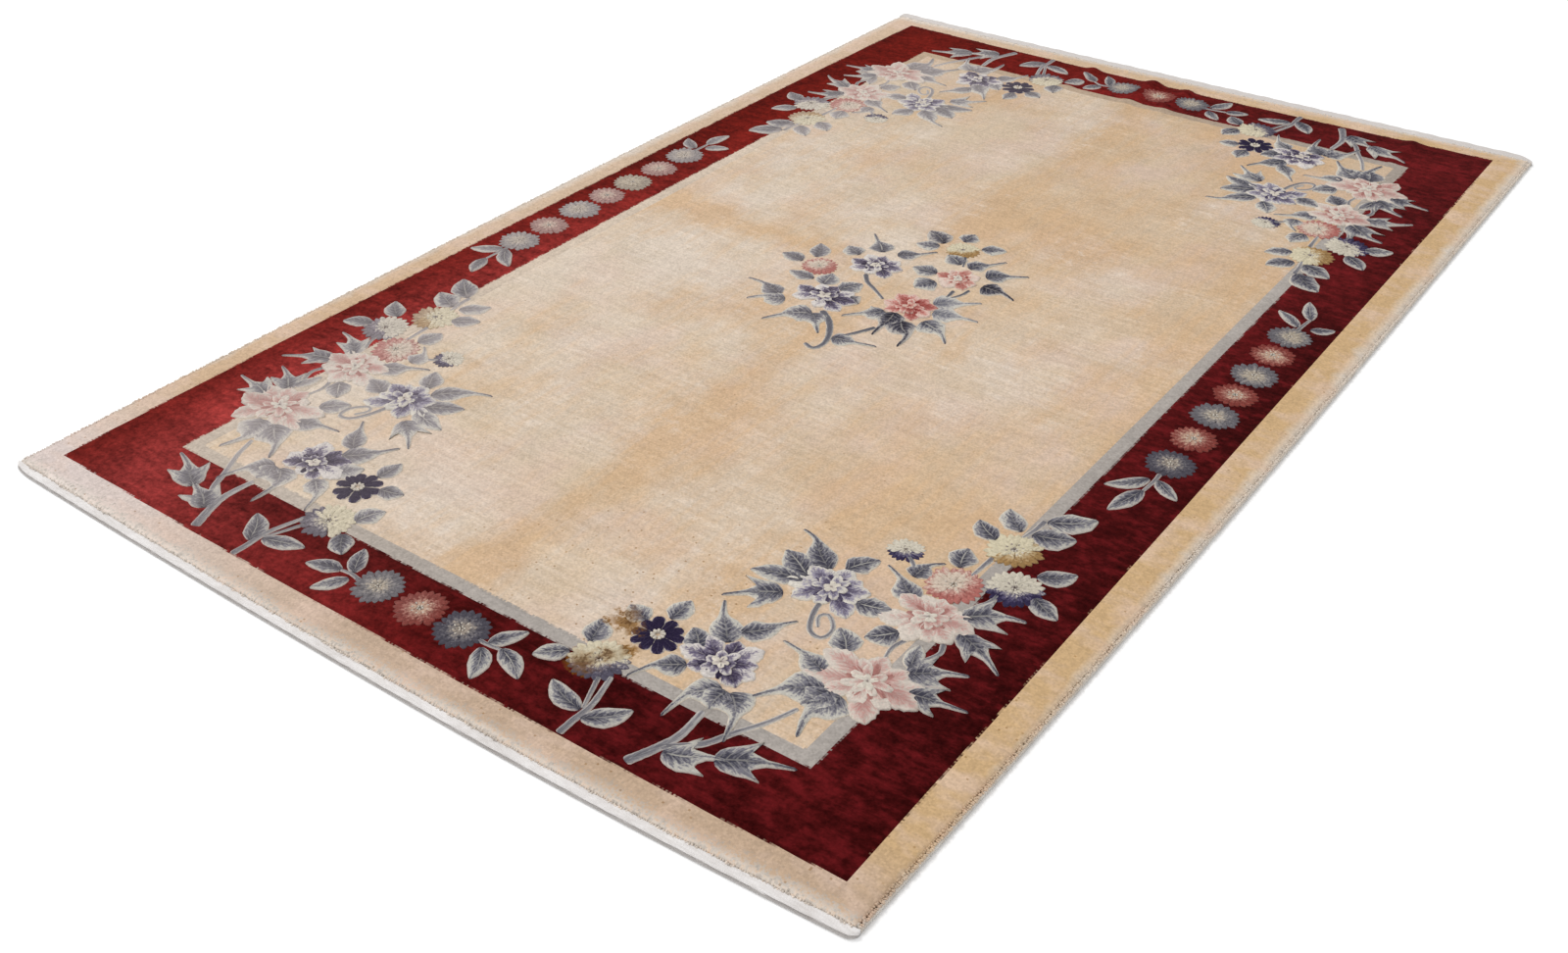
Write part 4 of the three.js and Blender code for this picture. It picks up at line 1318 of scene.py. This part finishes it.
cord_tree = wrap_tree()
sizes = {"Core radius": CORD_CORE, "Yarn radius": YARN, "Pitch": YARN_PITCH, "Unevenness": 0.05}
for side, name, node in ((-1.0, "left_cord", "left_side_cord"), (1.0, "right_cord", "right_side_cord")):
    end_x = np.array(side * (HALF_WIDTH - CORD))
    run = np.linspace(float(near_pile(end_x)) + GAP, float(far_pile(end_x)) - GAP, CORD_POINTS)
    line = bpy.data.meshes.new(name + "_line")
    middles = [(side * (float(half_width(at)) - CORD / 2.0), at, CORD_CORE + YARN) for at in run]
    line.from_pydata(middles, [(k, k + 1) for k in range(len(run) - 1)], [])
    cord = grown(name, line, cord_tree, sizes, cord_yarn)
    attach(cord, "root")
    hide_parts(node)


# Rim tufts
# The outermost knots of the pile, which have nothing beyond them to hold them up. They splay
# over the cotton bands and the cords, so the rim is ragged rather than cut clean.
TUFT_PITCH = 0.0042
TUFT_MARGIN = 0.002
SIDE_TUFTS = (-1.535, 1.505)
# Each row of tufts down a side is given by how far it lies past the slab, and its height.
TUFT_ROWS = ((-0.0012, 0.0080), (0.0016, 0.0070), (0.0042, 0.0072))


def tuft_tree():
    """Instances a soft drop of yarn at every point, leaning the way that the point says."""
    labels = ("Thickness", "Length", "Unevenness")
    t, given = start_tree("tufts_on_the_rim", [(label, "Float") for label in labels])
    drop = t.node("GeometryNodeMeshUVSphere", None, {"Segments": 6, "Rings": 4, "Radius": 0.5})
    inputs = {0: (-1.0, -1.0, -1.0), 1: (1.0, 1.0, 1.0), "Seed": 3}
    swing = t.node("FunctionNodeRandomValue", {"data_type": "FLOAT_VECTOR"}, inputs)
    inputs = {0: kept_on_points(t, "lean", "FLOAT_VECTOR"), 1: swing.scaled(given["Unevenness"])}
    turned = t.node("ShaderNodeVectorMath", {"operation": "ADD"}, inputs)
    grow = chance(t, 0.7, 1.25, 4)
    thick = given["Thickness"] * grow
    inputs = {"Points": given["Geometry"], "Instance": drop, "Rotation": turned,
              "Scale": t.vector(thick, thick, given["Length"] * grow)}
    tufts = t.node("GeometryNodeInstanceOnPoints", None, inputs)
    return end_tree([tufts], given["Yarn"])


random = np.random.default_rng(21)
spots = []
leans = []
for at in np.arange(TUFT_MARGIN - slab_half(0.0), slab_half(0.0) - TUFT_MARGIN, TUFT_PITCH):
    for outward, edge in ((-1.0, near_pile), (1.0, far_pile)):
        px = at + random.uniform(-0.0008, 0.0008)
        if abs(px) < slab_half(outward * HALF_LENGTH) - TUFT_MARGIN:
            rim = float(edge(np.array(px)))
            py = rim + outward * random.uniform(-0.0012, 0.0016)
            up = float(pile_top(np.array(px), np.array(rim - outward * 0.004)))
            spots.append((px, py, up - random.uniform(0.0022, 0.0036)))
            leans.append((-outward * 0.6, 0.0, 0.0))
for at in np.arange(*SIDE_TUFTS, TUFT_PITCH):
    for side in (-1.0, 1.0):
        for out, up in TUFT_ROWS:
            py = at + random.uniform(-0.0014, 0.0014)
            px = side * (float(slab_half(np.array(py))) + out + random.uniform(-0.0006, 0.0006))
            near, far = float(near_pile(np.array(px))), float(far_pile(np.array(px)))
            if near + TUFT_MARGIN < py < far - TUFT_MARGIN:
                rise = float(ripple(np.array(px), np.array(py)))
                spots.append((px, py, rise + up + random.uniform(-0.0006, 0.0006)))
                leans.append((0.0, side * 0.9, 0.0))
tuft_seeds = new_mesh("tuft_places", spots, [])
keep_on_points(tuft_seeds, "lean", leans)
sizes = {"Thickness": 0.0044, "Length": 0.0062, "Unevenness": 0.35}
rim_tufts = grown("rim_tufts", tuft_seeds, tuft_tree(), sizes, pile_yarn)
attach(rim_tufts, "root")


# Floor, light and camera
# A plain pale floor under soft studio light, from a broad lamp to the far left and a weaker one
# on the near side. The camera stands at the photographer's place, off the near right corner.
FLOOR_HALF = 40.0
FLOOR_TOP = -0.0006
SKY = 0.72
CAMERA_AT = (1.575, -2.756, 1.6297)
CAMERA_WAY = (-0.50040, 0.66224, -0.55772)
CAMERA_LENS = 37.684
CAMERA_SHIFT = 0.0510

floor_white, shader = new_material("floor_white", 0.9, 0.0)
shader.inputs["Base Color"].default_value = dye(250, 250, 250)
corners = [(x * FLOOR_HALF, y * FLOOR_HALF, FLOOR_TOP) for x, y in ((-1, -1), (1, -1), (1, 1), (-1, 1))]
floor = new_piece("floor", new_mesh("floor", corners, [[0, 1, 2, 3]]), floor_white)

world = bpy.data.worlds.new("studio")
bpy.context.scene.world = world
world.use_nodes = True
world.node_tree.nodes["Background"].inputs["Color"].default_value = (1.0, 1.0, 1.0, 1.0)
world.node_tree.nodes["Background"].inputs["Strength"].default_value = SKY


def soft_light(name, at, size, power):
    light = bpy.data.lights.new(name, "AREA")
    light.shape = "DISK"
    light.size = size
    light.energy = power
    lamp = bpy.data.objects.new(name, light)
    lamp.location = at
    lamp.rotation_mode = "QUATERNION"
    lamp.rotation_quaternion = (-Vector(at)).to_track_quat("-Z", "Y")
    bpy.context.collection.objects.link(lamp)


soft_light("window", (-8.0, 5.0, 13.0), 6.0, 1050.0)
soft_light("fill", (-2.0, -12.0, 6.0), 5.0, 420.0)

camera_data = bpy.data.cameras.new("camera")
camera_data.sensor_width = 36.0
camera_data.lens = CAMERA_LENS
camera_data.shift_x = CAMERA_SHIFT
camera_data.clip_end = 200.0
camera = bpy.data.objects.new("camera", camera_data)
forward = Vector(CAMERA_WAY).normalized()
right = forward.cross(Vector((0.0, 0.0, 1.0))).normalized()
up = right.cross(forward)
turned = Matrix((right, up, -forward)).transposed().to_4x4()
camera.matrix_world = Matrix.Translation(CAMERA_AT) @ turned
bpy.context.collection.objects.link(camera)
bpy.context.scene.camera = camera
bpy.context.scene.view_settings.view_transform = "Standard"
